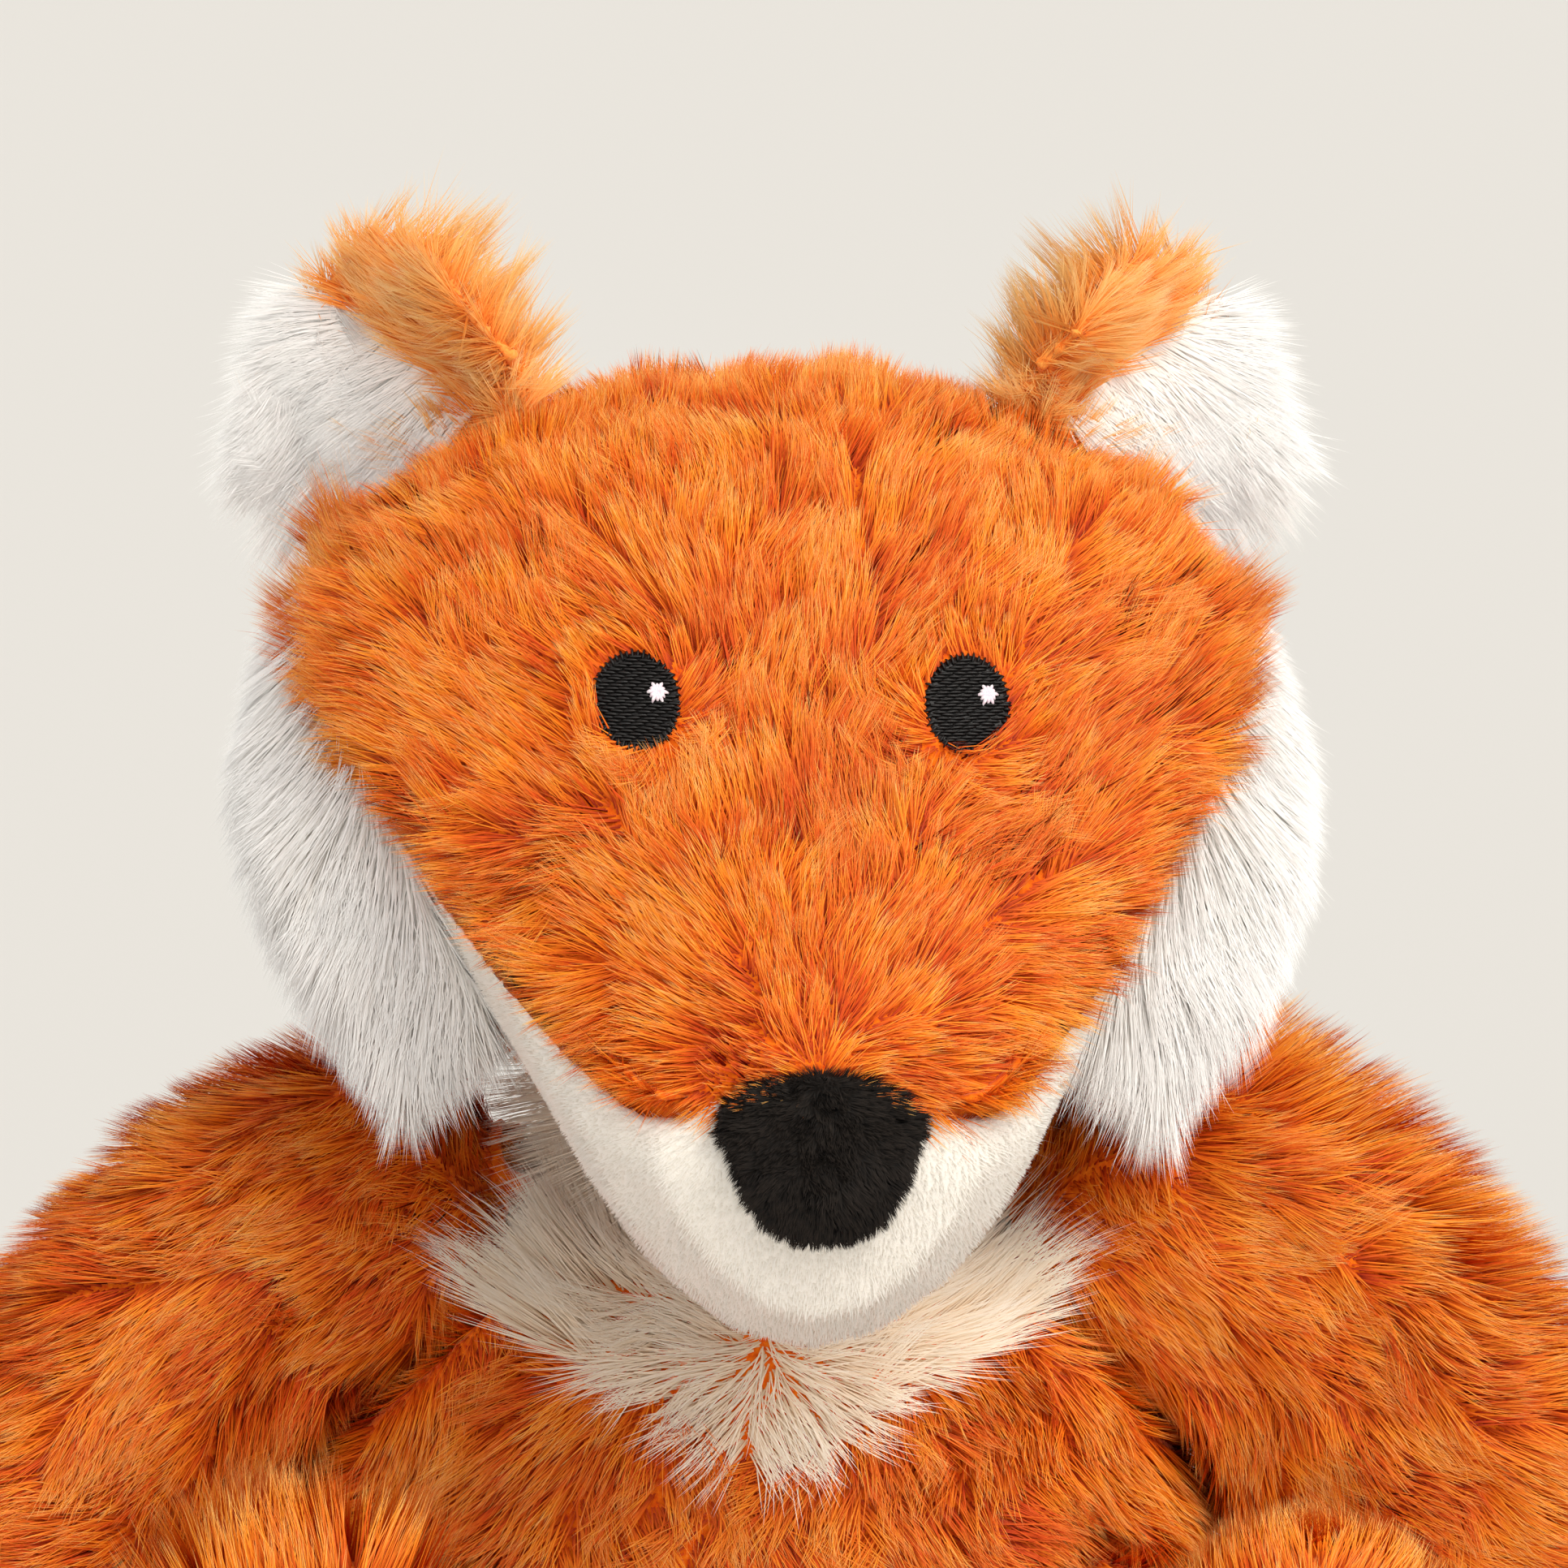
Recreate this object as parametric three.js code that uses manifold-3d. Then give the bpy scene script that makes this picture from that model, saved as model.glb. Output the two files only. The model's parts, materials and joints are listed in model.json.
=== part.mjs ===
// Sitting plush fox with a turning head, folding ears, swinging arms, legs and tail.
// Millimetres, +Z up, face towards -Y. The origin is on the ground under the middle of its box.
// Every cover is drawn at the outer envelope of its pile.
import * as THREE from "three";
import { mergeVertices } from "three/addons/utils/BufferGeometryUtils.js";
import Module from "manifold-3d";

const wasm = await Module();
wasm.setup();

// Fits
const seamGap = 0.3; // between two pieces sewn or laid together
const jointGap = 0.5; // least gap between a root and the socket that it turns in
const restGap = 3; // between the body and a limb that lies along it
const overrun = 30; // how far a cutter reaches past what it cuts
const flatDepth = 0.5; // how deep a rounded underside is flattened by the ground

// Pile and cloth
const pileWall = 8; // backing cloth and long pile together
const jawStep = 5; // how far the short pile of the jaw lies under the long pile
const jawSeam = 0.6; // from the edge of the long pile down to the jaw
const patchDepth = 5; // from the pile's envelope down to the embroidered cloth
const patchSink = 3.2; // from the envelope down to the face of an eye

// Head, measured from the middle of the neck
const neckBack = 10;
const neckHeight = 126;
const neckRadius = 24;
const skullWidth = 146;
const skullHeight = 137; // from under the chin to the crown
const skullLength = 107;
const skullBack = 52; // from the neck to the back of the head
const chinDrop = 22; // from the neck down to the chin
const muzzleLength = 71;
const muzzleWidth = 90;
const muzzleHeight = 76;

// Face
const noseWidth = 30;
const noseHeight = 23;
const noseTop = 26; // above the middle of the neck
const noseProud = 1.8; // under the long pile's envelope, so it stands out of the jaw
const eyeSpread = 23.5;
const eyeRise = 71;
const eyeWidth = 12.4;
const eyeHeight = 13.6;
const glintReach = 1.9;
const glintOut = 3;
const glintUp = 0.9;
const glintSink = 2.1;
const maskWidth = 124; // of the white jaw where its edge meets the cheeks
const maskHeight = 31; // of the V between the nose and the cheeks
const maskBack = 48; // from the neck forward to where the white jaw begins
const noseBack = 60; // from the neck forward, safely behind the nose

// Cheek ruffs
const ruffOut = 69;
const ruffTop = 88;
const ruffDrop = 81;
const ruffForward = 58;
const ruffGirth = 13;
const ruffDepth = 17;

// Ears
const earOut = 48;
const earBack = 10;
const earSink = 14.5; // from the crown down to the base seam of the ears
const earBaseOut = 24;
const earBaseBack = 28;
const earBaseDrop = 18;
const earHeight = 40;
const earWidth = 56;
const earThickness = 11;
const earCup = 11;
const earLeanOut = 13;
const earLeanBack = 4;
const earRootRadius = 6;
const earRootLength = 38;

// Torso
const torsoWidth = 151;
const torsoHeight = 116;
const torsoDepth = 127;
const torsoMiddle = 7.5;
const bibWidth = 94;
const bibDrop = 31; // from the neck seam to the tip of the V
const bibTop = 116;

// Bag of pellets in the seat
const bagRadius = 26;
const bagHeight = 16;
const bagBack = 20; // behind the middle of the torso

// Arms
const shoulderOut = 60;
const shoulderBack = 8;
const shoulderHeight = 108;
const armRadius = 30;
const armReach = 56;
const armForward = 30;
const armDrop = 70;
const armSwing = 55; // degrees

// Legs
const hipOut = 47;
const hipForward = 28;
const hipHeight = 33;
const haunchRadius = 34;
const haunchWidth = 54;
const shinRadius = 25;
const ankleOut = 20;
const ankleForward = 62;
const ankleDrop = 6;
const footWidth = 62;
const footHeight = 90;
const footDepth = 43;
const footForward = 72;
const footOut = 23;

// Tail
const tailBack = 72;
const tailHeight = 31;
const tailRootRadius = 14;
const tailLength = 98;
const tailGirth = 31;
const tailLift = 14;
const tailSwing = 25; // degrees

// Openings that the stuffing goes through
const limbOpening = 13;
const tailOpening = 6;

// Fineness of the faceted forms
const formSides = 20;
const coreSides = 12;
const limbSides = 12;
const limbCoreSides = 8;
const formSteps = 12;
const coreSteps = 8;
const capSteps = 3;
const ballSides = 14;
const roomSides = 20;
const eyeSides = 14;
const leafArcSteps = 6;

// Shares of the head's sizes: along, half width, top, widest height, bottom
const skullShares = [
  [0, 0, 0.613, 0.613, 0.613],
  [0.075, 0.41, 0.8, 0.61, 0.38],
  [0.206, 0.685, 0.915, 0.63, 0.24],
  [0.393, 0.89, 0.985, 0.65, 0.16],
  [0.579, 0.986, 1, 0.668, 0.13],
  [0.813, 1, 0.978, 0.68, 0.095],
  [1, 0.93, 0.89, 0.657, 0.055],
];
const muzzleShares = [
  [0.24, 1.27, 1.33, 0.96, 0.05],
  [0.49, 1, 1.03, 0.64, 0.0],
  [0.7, 0.86, 0.84, 0.52, 0.01],
  [0.87, 0.66, 0.68, 0.46, 0.08],
  [1, 0, 0.42, 0.42, 0.42],
];
const jawSharpnessShare = 1.67; // 1 is a round jaw, 2 comes to an edge under the chin

// Shares of the torso's height, half width, and half depth in front of and behind its middle
const torsoShares = [
  [-0.004, 0, 0, 0],
  [0, 0.66, 0.66, 0.74],
  [0.07, 0.85, 0.86, 0.88],
  [0.2, 0.97, 0.97, 0.98],
  [0.38, 1, 1, 1],
  [0.55, 0.97, 0.98, 0.96],
  [0.72, 0.865, 0.92, 0.86],
  [0.85, 0.73, 0.8, 0.73],
  [0.94, 0.57, 0.6, 0.6],
  [0.985, 0.39, 0.39, 0.44],
  [1, 0, 0, 0],
];

// Shares of a limb's reach, advance and drop, then of its radius
const armShares = [
  [0, 0, 0, 1],
  [0.27, 0.05, 0.13, 1.02],
  [0.56, 0.25, 0.36, 1.03],
  [0.84, 0.6, 0.7, 0.98],
  [1, 1, 1, 0.86],
];
const shinShares = [1.06, 1.02, 0.94];
const footShares = [0.78, 0.96, 1, 0.86];
const tailShares = [
  [0, 0.1, 0.44],
  [0.16, 0.02, 0.66],
  [0.38, 0, 0.93],
  [0.6, 0.15, 1],
  [0.82, 0.55, 0.83],
  [1, 1, 0.42],
];
const tailTipShare = 0.62; // where the white tip begins

// Shares of the ruff's outward place, drop, advance and girth
const ruffShares = [
  [0.86, 0, 0.1, 0.3],
  [0.97, 0.14, 0.24, 0.74],
  [1, 0.34, 0.42, 1],
  [0.94, 0.55, 0.6, 1.12],
  [0.85, 0.77, 0.78, 0.95],
  [0.78, 0.95, 0.92, 0.4],
];

// Shares of the ear's height and half width
const earShares = [
  [0, 0.76],
  [0.18, 0.96],
  [0.38, 1],
  [0.58, 0.86],
  [0.78, 0.58],
  [0.93, 0.26],
];

// Outlines seen from the front, as shares of their own widths and heights
const maskShares = [
  [0.128, 0],
  [0.138, -0.2],
  [0.2, -0.2],
  [0.27, -0.02],
  [0.4, 0.46],
  [0.5, 1],
  [0.78, 1.9],
  [0.78, -2.4],
];
const noseShares = [
  [0.3, 1],
  [0.46, 0.93],
  [0.5, 0.74],
  [0.42, 0.4],
  [0.3, 0.12],
  [0.14, 0],
];
const bibShares = [
  [0.5, 0.4],
  [0.5, -0.12],
  [0.3, -0.46],
  [0.13, -0.82],
  [0.04, -1],
];
const glintPoints = 5;
const glintDipShare = 0.5;
const cupStartShare = 0.35; // of the ear's height, where its full cup begins
const armSwingShares = [0, 0.17, 0.34]; // where the arm is trimmed free of the body
const tailSwingShares = [-1, 0, 1]; // where the tail is trimmed free of the body

const colours = {
  orange: 0xeb7c28,
  white: 0xf0ebe4,
  cream: 0xcfb599,
  jaw: 0xe5dac9,
  black: 0x241c15,
  thread: 0x140f0c,
  glint: 0xf4e9ee,
  stuffing: 0xf3f3f0,
  pellets: 0xd9d4c8,
};

function finish(colour, roughness) {
  return new THREE.MeshStandardMaterial({ color: colours[colour], roughness, metalness: 0 });
}

// A value between the rows of a table, on a smooth curve through them
function between(rows, column, place) {
  const last = rows.length - 1;
  const low = Math.min(Math.floor(place), last - 1);
  const pick = (row) => rows[Math.max(0, Math.min(row, last))][column];
  return new THREE.CatmullRomCurve3(
    [-1, 0, 1, 2].map((step) => new THREE.Vector3(pick(low + step), 0, 0)),
    false,
    "catmullrom",
    0.5,
  ).getPoint((1 + place - low) / 3).x;
}

// One closed solid from a closed mesh, turned so that its faces point out
function solid(geometry) {
  const bare = geometry.clone();
  bare.deleteAttribute("normal");
  bare.deleteAttribute("uv");
  const merged = mergeVertices(bare);
  const order = merged.index.array;
  const faces = [];
  for (let i = 0; i < order.length; i += 3) {
    const [a, b, c] = [order[i], order[i + 1], order[i + 2]];
    if (a !== b && b !== c && c !== a) faces.push([a, b, c]);
  }
  const vertProperties = Float32Array.from(merged.attributes.position.array);
  const make = (triangles) =>
    new wasm.Manifold(
      new wasm.Mesh({ numProp: 3, vertProperties, triVerts: Uint32Array.from(triangles.flat()) }),
    );
  const made = make(faces);
  return made.volume() > 0 ? made : make(faces.map(([a, b, c]) => [a, c, b]));
}

// A closed skin over rings of equally many points, with a pole at each end
function loft(rings, start, end) {
  const points = [start, ...rings.flat(), end];
  const sides = rings[0].length;
  const at = (ring, side) => 1 + ring * sides + (side % sides);
  const faces = [];
  for (let s = 0; s < sides; s++) {
    faces.push(0, at(0, s + 1), at(0, s));
    for (let r = 0; r + 1 < rings.length; r++) {
      faces.push(at(r, s), at(r, s + 1), at(r + 1, s + 1));
      faces.push(at(r, s), at(r + 1, s + 1), at(r + 1, s));
    }
    faces.push(points.length - 1, at(rings.length - 1, s), at(rings.length - 1, s + 1));
  }
  return solid(new THREE.BufferGeometry().setFromPoints(points).setIndex(faces));
}

function circleAngles(sides) {
  return Array.from({ length: sides }, (_, i) => (2 * Math.PI * i) / sides);
}

// A stuffed tube through points, round at both ends; broad and deep scale its section
function stuffedTube(points, radii, sides, broad = 1, deep = 1) {
  const curve = new THREE.CatmullRomCurve3(points);
  const last = points.length - 1;
  const side = new THREE.Vector3();
  const ahead = points.map((_, i) => curve.getTangent(i / last));
  const seed = Math.abs(ahead[0].z) > Math.abs(ahead[0].x) ? [1, 0, 0] : [0, 0, 1];
  side.set(...seed);
  const section = (centre, along, radius) => {
    side.addScaledVector(along, -side.dot(along)).normalize();
    const up = new THREE.Vector3().crossVectors(along, side);
    return circleAngles(sides).map((a) =>
      centre
        .clone()
        .addScaledVector(side, radius * broad * Math.cos(a))
        .addScaledVector(up, radius * deep * Math.sin(a)),
    );
  };
  const rings = [];
  const steps = Array.from({ length: capSteps - 1 }, (_, i) => ((i + 1) * Math.PI) / (2 * capSteps));
  const cap = (end, sign, angle) =>
    section(
      points[end].clone().addScaledVector(ahead[end], sign * radii[end] * Math.cos(angle)),
      ahead[end],
      radii[end] * Math.sin(angle),
    );
  steps.forEach((angle) => rings.push(cap(0, -1, angle)));
  points.forEach((point, i) => rings.push(section(point, ahead[i], radii[i])));
  steps.toReversed().forEach((angle) => rings.push(cap(last, 1, angle)));
  const pole = (end, sign) => points[end].clone().addScaledVector(ahead[end], sign * radii[end]);
  return loft(rings, pole(0, -1), pole(last, 1));
}

function ball(radius, sides = ballSides) {
  return solid(new THREE.SphereGeometry(radius, sides, Math.round(sides / 2)));
}

// The faceted hollow that a ball of this radius turns in without touching its facets
function ballSocket(radius) {
  return ball((radius + jointGap) / Math.cos(Math.PI / ballSides) ** 2);
}

// A straight round cutter from the origin along a direction
function roundCutter(radius, length, direction) {
  const geometry = new THREE.CylinderGeometry(radius, radius, length, limbCoreSides);
  geometry.translate(0, length / 2, 0);
  const towards = new THREE.Vector3(...direction).normalize();
  geometry.applyQuaternion(new THREE.Quaternion().setFromUnitVectors(THREE.Object3D.DEFAULT_UP, towards));
  return solid(geometry);
}

// A prism along Y over a front outline, from far in front back to a given depth
function frontPrism(outline, front, back) {
  const shape = new THREE.Shape(outline.map(([x, z]) => new THREE.Vector2(x, z)));
  const geometry = new THREE.ExtrudeGeometry(shape, { depth: back - front, bevelEnabled: false });
  geometry.rotateX(Math.PI / 2).translate(0, back, 0);
  return solid(geometry);
}

function mirrored(outline) {
  return [...outline, ...outline.toReversed().map(([x, z]) => [-x, z])];
}

function grown(outline, margin) {
  const centre = outline.reduce(([x, z], p) => [x + p[0], z + p[1]], [0, 0]);
  const [cx, cz] = centre.map((sum) => sum / outline.length);
  return outline.map(([x, z]) => {
    const away = new THREE.Vector2(x - cx, z - cz);
    away.setLength(away.length() + margin);
    return [cx + away.x, cz + away.y];
  });
}

function mesh(name, manifold, material) {
  const { vertProperties, triVerts } = manifold.getMesh();
  const geometry = new THREE.BufferGeometry();
  geometry.setAttribute("position", new THREE.BufferAttribute(Float32Array.from(vertProperties), 3));
  geometry.setIndex(new THREE.BufferAttribute(Uint32Array.from(triVerts), 1));
  geometry.computeVertexNormals();
  const made = new THREE.Mesh(geometry, material);
  made.name = name;
  return made;
}

// Head form, in the neck's frame, drawn in by an inset
const headRows = [
  ...skullShares.map(([along, half, top, widest, bottom]) => [
    skullBack - along * skullLength,
    (half * skullWidth) / 2,
    top * skullHeight - chinDrop,
    widest * skullHeight - chinDrop,
    bottom * skullHeight - chinDrop,
  ]),
  ...muzzleShares.map(([along, half, top, widest, bottom]) => [
    skullBack - skullLength - along * muzzleLength,
    (half * muzzleWidth) / 2,
    top * muzzleHeight - chinDrop,
    widest * muzzleHeight - chinDrop,
    bottom * muzzleHeight - chinDrop,
  ]),
];
const headLength = skullLength + muzzleLength;
const headMiddle = skullBack - headLength / 2;

// A width less the inset, but never less than half of itself
function drawnIn(size, inset) {
  return Math.max(size - inset, size / 2);
}

function headForm(inset, sides = formSides, steps = formSteps) {
  const shrink = 1 - inset / (headLength / 2);
  const station = (place) => {
    const [y, half, top, widest, bottom] = [0, 1, 2, 3, 4].map((c) => between(headRows, c, place));
    return { y: headMiddle + (y - headMiddle) * shrink, half, top, widest, bottom };
  };
  const rings = [];
  const lastRow = headRows.length - 1;
  for (let i = 1; i < steps; i++) {
    const { y, half, top, widest, bottom } = station((i / steps) * lastRow);
    const [wide, rise, fall] = [half, top - widest, widest - bottom].map((s) => drawnIn(s, inset));
    rings.push(
      circleAngles(sides).map((a) => {
        const sine = Math.sin(a);
        const lift = sine > 0 ? rise * sine : -fall * Math.abs(sine) ** jawSharpnessShare;
        return new THREE.Vector3(wide * Math.cos(a), y, widest + lift);
      }),
    );
  }
  const pole = (place) => {
    const { y, widest } = station(place);
    return new THREE.Vector3(0, y, widest);
  };
  return loft(rings, pole(0), pole(lastRow));
}

// Torso form, in the whole fox's frame, drawn in by an inset
function torsoForm(inset, sides = formSides, steps = torsoShares.length - 1) {
  const half = torsoHeight / 2;
  const shrink = 1 - inset / half;
  const rings = [];
  const lastRow = torsoShares.length - 1;
  const height = (place) => half + (between(torsoShares, 0, place) * torsoHeight - half) * shrink;
  for (let i = 1; i < steps; i++) {
    const place = (i / steps) * lastRow;
    const [wide, front, back] = [1, 2, 3].map((c) => between(torsoShares, c, place));
    const across = drawnIn((wide * torsoWidth) / 2, inset);
    const [ahead, behind] = [front, back].map((s) => drawnIn((s * torsoDepth) / 2, inset));
    rings.push(
      circleAngles(sides).map((a) => {
        const sine = Math.sin(a);
        const y = torsoMiddle + sine * (sine > 0 ? behind : ahead);
        return new THREE.Vector3(across * Math.cos(a), y, height(place));
      }),
    );
  }
  const pole = (place) => new THREE.Vector3(0, torsoMiddle, height(place));
  return loft(rings, pole(0), pole(lastRow));
}

// Where each sub-assembly turns
const neckPlace = [0, neckBack, neckHeight];
const shoulderPlace = (side) => [side * shoulderOut, shoulderBack, shoulderHeight];
const hipPlace = (side) => [side * hipOut, -hipForward, hipHeight];
const tailPlace = [0, tailBack, tailHeight];
const away = (place) => place.map((v) => -v);
const aboveGround = (form) => form.trimByPlane([0, 0, 1], 0);

// Arm form, in the shoulder's frame
function armForm(side, inset, sides) {
  const points = armShares.map(
    ([out, ahead, down]) =>
      new THREE.Vector3(side * out * armReach, -ahead * armForward, -down * armDrop),
  );
  return stuffedTube(points, armShares.map((row) => row[3] * armRadius - inset), sides);
}

// A flattened ball that turns about X, in the hip's frame
function haunch(radius, half, sides) {
  const geometry = new THREE.SphereGeometry(1, sides, Math.round(sides / 2));
  return solid(geometry.rotateZ(Math.PI / 2).scale(half, radius, radius));
}

function haunchSocket() {
  const open = (size) => (size + jointGap) / Math.cos(Math.PI / ballSides) ** 2;
  return haunch(open(haunchRadius), open(haunchWidth / 2), ballSides);
}

// Leg form, in the hip's frame: haunch, shin and upright foot
function legForm(side, inset, sides) {
  const hip = new THREE.Vector3(0, 0, 0);
  const ankle = new THREE.Vector3(side * ankleOut, -ankleForward, -ankleDrop);
  const knee = new THREE.Vector3().addVectors(hip, ankle).divideScalar(2);
  const shinGirths = shinShares.map((share) => share * shinRadius - inset);
  const shin = stuffedTube([hip, knee, ankle], shinGirths, sides);
  const girths = footShares.map((share) => (share * footWidth) / 2);
  const low = girths.at(0) - flatDepth;
  const high = footHeight - girths.at(-1);
  const points = girths.map((_, i) => {
    const up = THREE.MathUtils.lerp(low, high, i / (girths.length - 1));
    return new THREE.Vector3(side * footOut, -footForward, up - hipHeight);
  });
  const deep = (footDepth - 2 * inset) / (footWidth - 2 * inset);
  const foot = stuffedTube(points, girths.map((girth) => girth - inset), sides, 1, deep);
  return haunch(haunchRadius - inset, haunchWidth / 2 - inset, sides).add(shin).add(foot);
}

// Tail form, in the tail root's frame, lying back along the ground
function tailForm(inset, sides) {
  const rise = (share) => share * tailLift;
  const girths = tailShares.map((row) => row[2] * tailGirth);
  const points = tailShares.map(
    ([back, lift]) => new THREE.Vector3(0, back * tailLength, rise(lift)),
  );
  return stuffedTube(points, girths.map((girth) => girth - inset), sides)
    .add(ball(tailRootRadius - inset, sides));
}

// Ruff form, in the neck's frame: a thick lock of pile that hangs to a point
function ruffForm(side) {
  const points = ruffShares.map(
    ([out, down, ahead]) =>
      new THREE.Vector3(side * out * ruffOut, -ahead * ruffForward, ruffTop - down * ruffDrop),
  );
  const girths = ruffShares.map((row) => row[3] * ruffGirth);
  return stuffedTube(points, girths, limbCoreSides, 1, ruffDepth / ruffGirth);
}

// One leaf of the ear: a half lens, cupped towards -Y, on the side of its middle that facing gives
function earLeaf(facing) {
  const arc = Array.from({ length: leafArcSteps + 1 }, (_, i) => (Math.PI * i) / leafArcSteps);
  const ring = ([up, wide]) => {
    const half = (wide * earWidth) / 2;
    const thick = (earThickness / 2) * Math.sqrt(1 - up * up);
    const cupped = (x, y) => {
      const cup = earCup * Math.min(1, up / cupStartShare) * (x / (earWidth / 2)) ** 2;
      return new THREE.Vector3(x, facing * (y + seamGap / 2) - cup, up * earHeight);
    };
    const outer = arc.map((a) => cupped(half * Math.cos(a), thick * Math.sin(a)));
    const chord = arc.slice(1, -1).map((a) => cupped(-half * Math.cos(a), 0));
    return [...outer, ...chord];
  };
  const rings = earShares.map(ring);
  const pole = (up) => new THREE.Vector3(0, (facing * seamGap) / 2, up * earHeight);
  return loft(rings, pole(0), pole(1));
}

function earRoot(radius, length) {
  const geometry = new THREE.CylinderGeometry(radius, radius, length, ballSides);
  return solid(geometry.rotateZ(Math.PI / 2));
}

// The ear's own frame in the neck's frame: X along its base, Z to its tip, Y out of its back
function earFrame(side) {
  const along = new THREE.Vector3(earBaseOut, side * earBaseBack, -side * earBaseDrop).normalize();
  const tip = new THREE.Vector3(side * earLeanOut, earLeanBack, earHeight);
  tip.addScaledVector(along, -tip.dot(along)).normalize();
  const back = new THREE.Vector3().crossVectors(tip, along);
  return new THREE.Matrix4()
    .makeBasis(along, back, tip)
    .setPosition(side * earOut, earBack - neckBack, skullHeight - chinDrop - earSink);
}

function moved(manifold, matrix) {
  return manifold.transform(matrix.elements);
}

function place(object, [x, y, z]) {
  object.position.set(x, y, z);
  return object;
}

// Outlines of the face, in the neck's frame
const maskOutline = mirrored(
  maskShares.map(([x, z]) => [x * maskWidth, noseTop + seamGap + z * maskHeight]),
);
const noseOutline = mirrored(
  noseShares.map(([x, z]) => [x * noseWidth, noseTop - noseHeight + z * noseHeight]),
);
const bibOutline = mirrored(bibShares.map(([x, z]) => [x * bibWidth, bibTop + z * bibDrop]));
const eyeOutline = (side) =>
  circleAngles(eyeSides).map((a) => [
    side * eyeSpread + (eyeWidth / 2) * Math.cos(a),
    eyeRise + (eyeHeight / 2) * Math.sin(a),
  ]);
const glintOutline = (side) =>
  circleAngles(2 * glintPoints).map((a, i) => {
    const reach = glintReach * (i % 2 ? glintDipShare : 1);
    const turned = a + Math.PI / 2;
    return [
      side * eyeSpread + glintOut + reach * Math.cos(turned),
      eyeRise + glintUp + reach * Math.sin(turned),
    ];
  });

function faceCutter(outline, back) {
  return frontPrism(outline, -headLength - overrun, -back);
}

function makeHead() {
  const group = place(new THREE.Group(), neckPlace);
  const form = headForm(0);
  const hollow = headForm(pileWall, coreSides, coreSteps);
  const core = headForm(pileWall + seamGap, coreSides, coreSteps);
  const cloth = headForm(patchDepth);
  const socket = ballSocket(neckRadius);
  const jaw = faceCutter(maskOutline, maskBack);
  const sides = [-1, 1];
  const grooves = sides.map((side) => {
    const open = (earRootRadius + jointGap) / Math.cos(Math.PI / ballSides);
    return moved(earRoot(open, earRootLength + 2 * jointGap), earFrame(side));
  });
  let cover = form.subtract(hollow).subtract(socket).subtract(jaw);
  let filling = core.subtract(socket);
  grooves.forEach((groove) => {
    cover = cover.subtract(groove);
    filling = filling.subtract(groove);
  });
  sides.forEach((side) => {
    const word = side < 0 ? "right" : "left";
    const pocket = faceCutter(grown(eyeOutline(side), seamGap), 0);
    cover = cover.subtract(pocket.subtract(headForm(patchDepth + seamGap)));
    const eye = faceCutter(eyeOutline(side), 0).intersect(headForm(patchSink)).subtract(cloth);
    const glint = faceCutter(glintOutline(side), 0)
      .intersect(headForm(glintSink))
      .subtract(headForm(patchSink - seamGap));
    const ruff = ruffForm(side).subtract(headForm(-seamGap));
    group.add(
      mesh(`eye_${word}`, eye, finish("thread", 0.45)),
      mesh(`eye_glint_${word}`, glint, finish("glint", 0.4)),
      mesh(`cheek_ruff_${word}`, ruff, finish("white", 0.9)),
    );
  });
  const lowered = maskOutline.map(([x, z]) => [x, z - jawSeam]);
  const inside = faceCutter(lowered, maskBack + seamGap);
  const chin = inside.intersect(headForm(jawStep)).subtract(hollow);
  const nose = faceCutter(noseOutline, noseBack)
    .intersect(headForm(noseProud))
    .subtract(headForm(jawStep - seamGap));
  return group.add(
    mesh("head_cover", cover, finish("orange", 0.9)),
    mesh("head_filling", filling, finish("stuffing", 0.95)),
    mesh("chin_cover", chin, finish("jaw", 0.85)),
    mesh("nose", nose, finish("black", 0.8)),
  );
}

function makeEar(side) {
  const word = side < 0 ? "right" : "left";
  const root = earRoot(earRootRadius, earRootLength);
  const back = earLeaf(1).add(root);
  const lining = earLeaf(-1).subtract(earRoot(earRootRadius + seamGap, earWidth + overrun));
  const group = new THREE.Group();
  group.applyMatrix4(new THREE.Matrix4().makeTranslation(...neckPlace).multiply(earFrame(side)));
  return group.add(
    mesh(`ear_back_${word}`, back, finish("orange", 0.9)),
    mesh(`ear_lining_${word}`, lining, finish("white", 0.9)),
  );
}

function makeNeck() {
  return place(mesh("neck_filling", ball(neckRadius, roomSides), finish("stuffing", 0.95)), neckPlace);
}

// Where the limbs and the head turn in the torso
const sockets = [
  ballSocket(neckRadius).translate(neckPlace),
  ballSocket(tailRootRadius).translate(tailPlace),
  ...[-1, 1].map((side) => ballSocket(armRadius).translate(shoulderPlace(side))),
  ...[-1, 1].map((side) => haunchSocket().translate(hipPlace(side))),
];

// What a limb must leave free, in its own frame: the body around the room that its root turns in
function besideTorso(room, from) {
  return torsoForm(-restGap).translate(away(from)).subtract(room);
}

// The body as a limb meets it on its way, joined at shares of its full swing
function swungThrough(still, shares, swing) {
  return shares
    .map((share) => still.rotate(swing.map((angle) => share * angle)))
    .reduce((all, turned) => all.add(turned));
}

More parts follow.
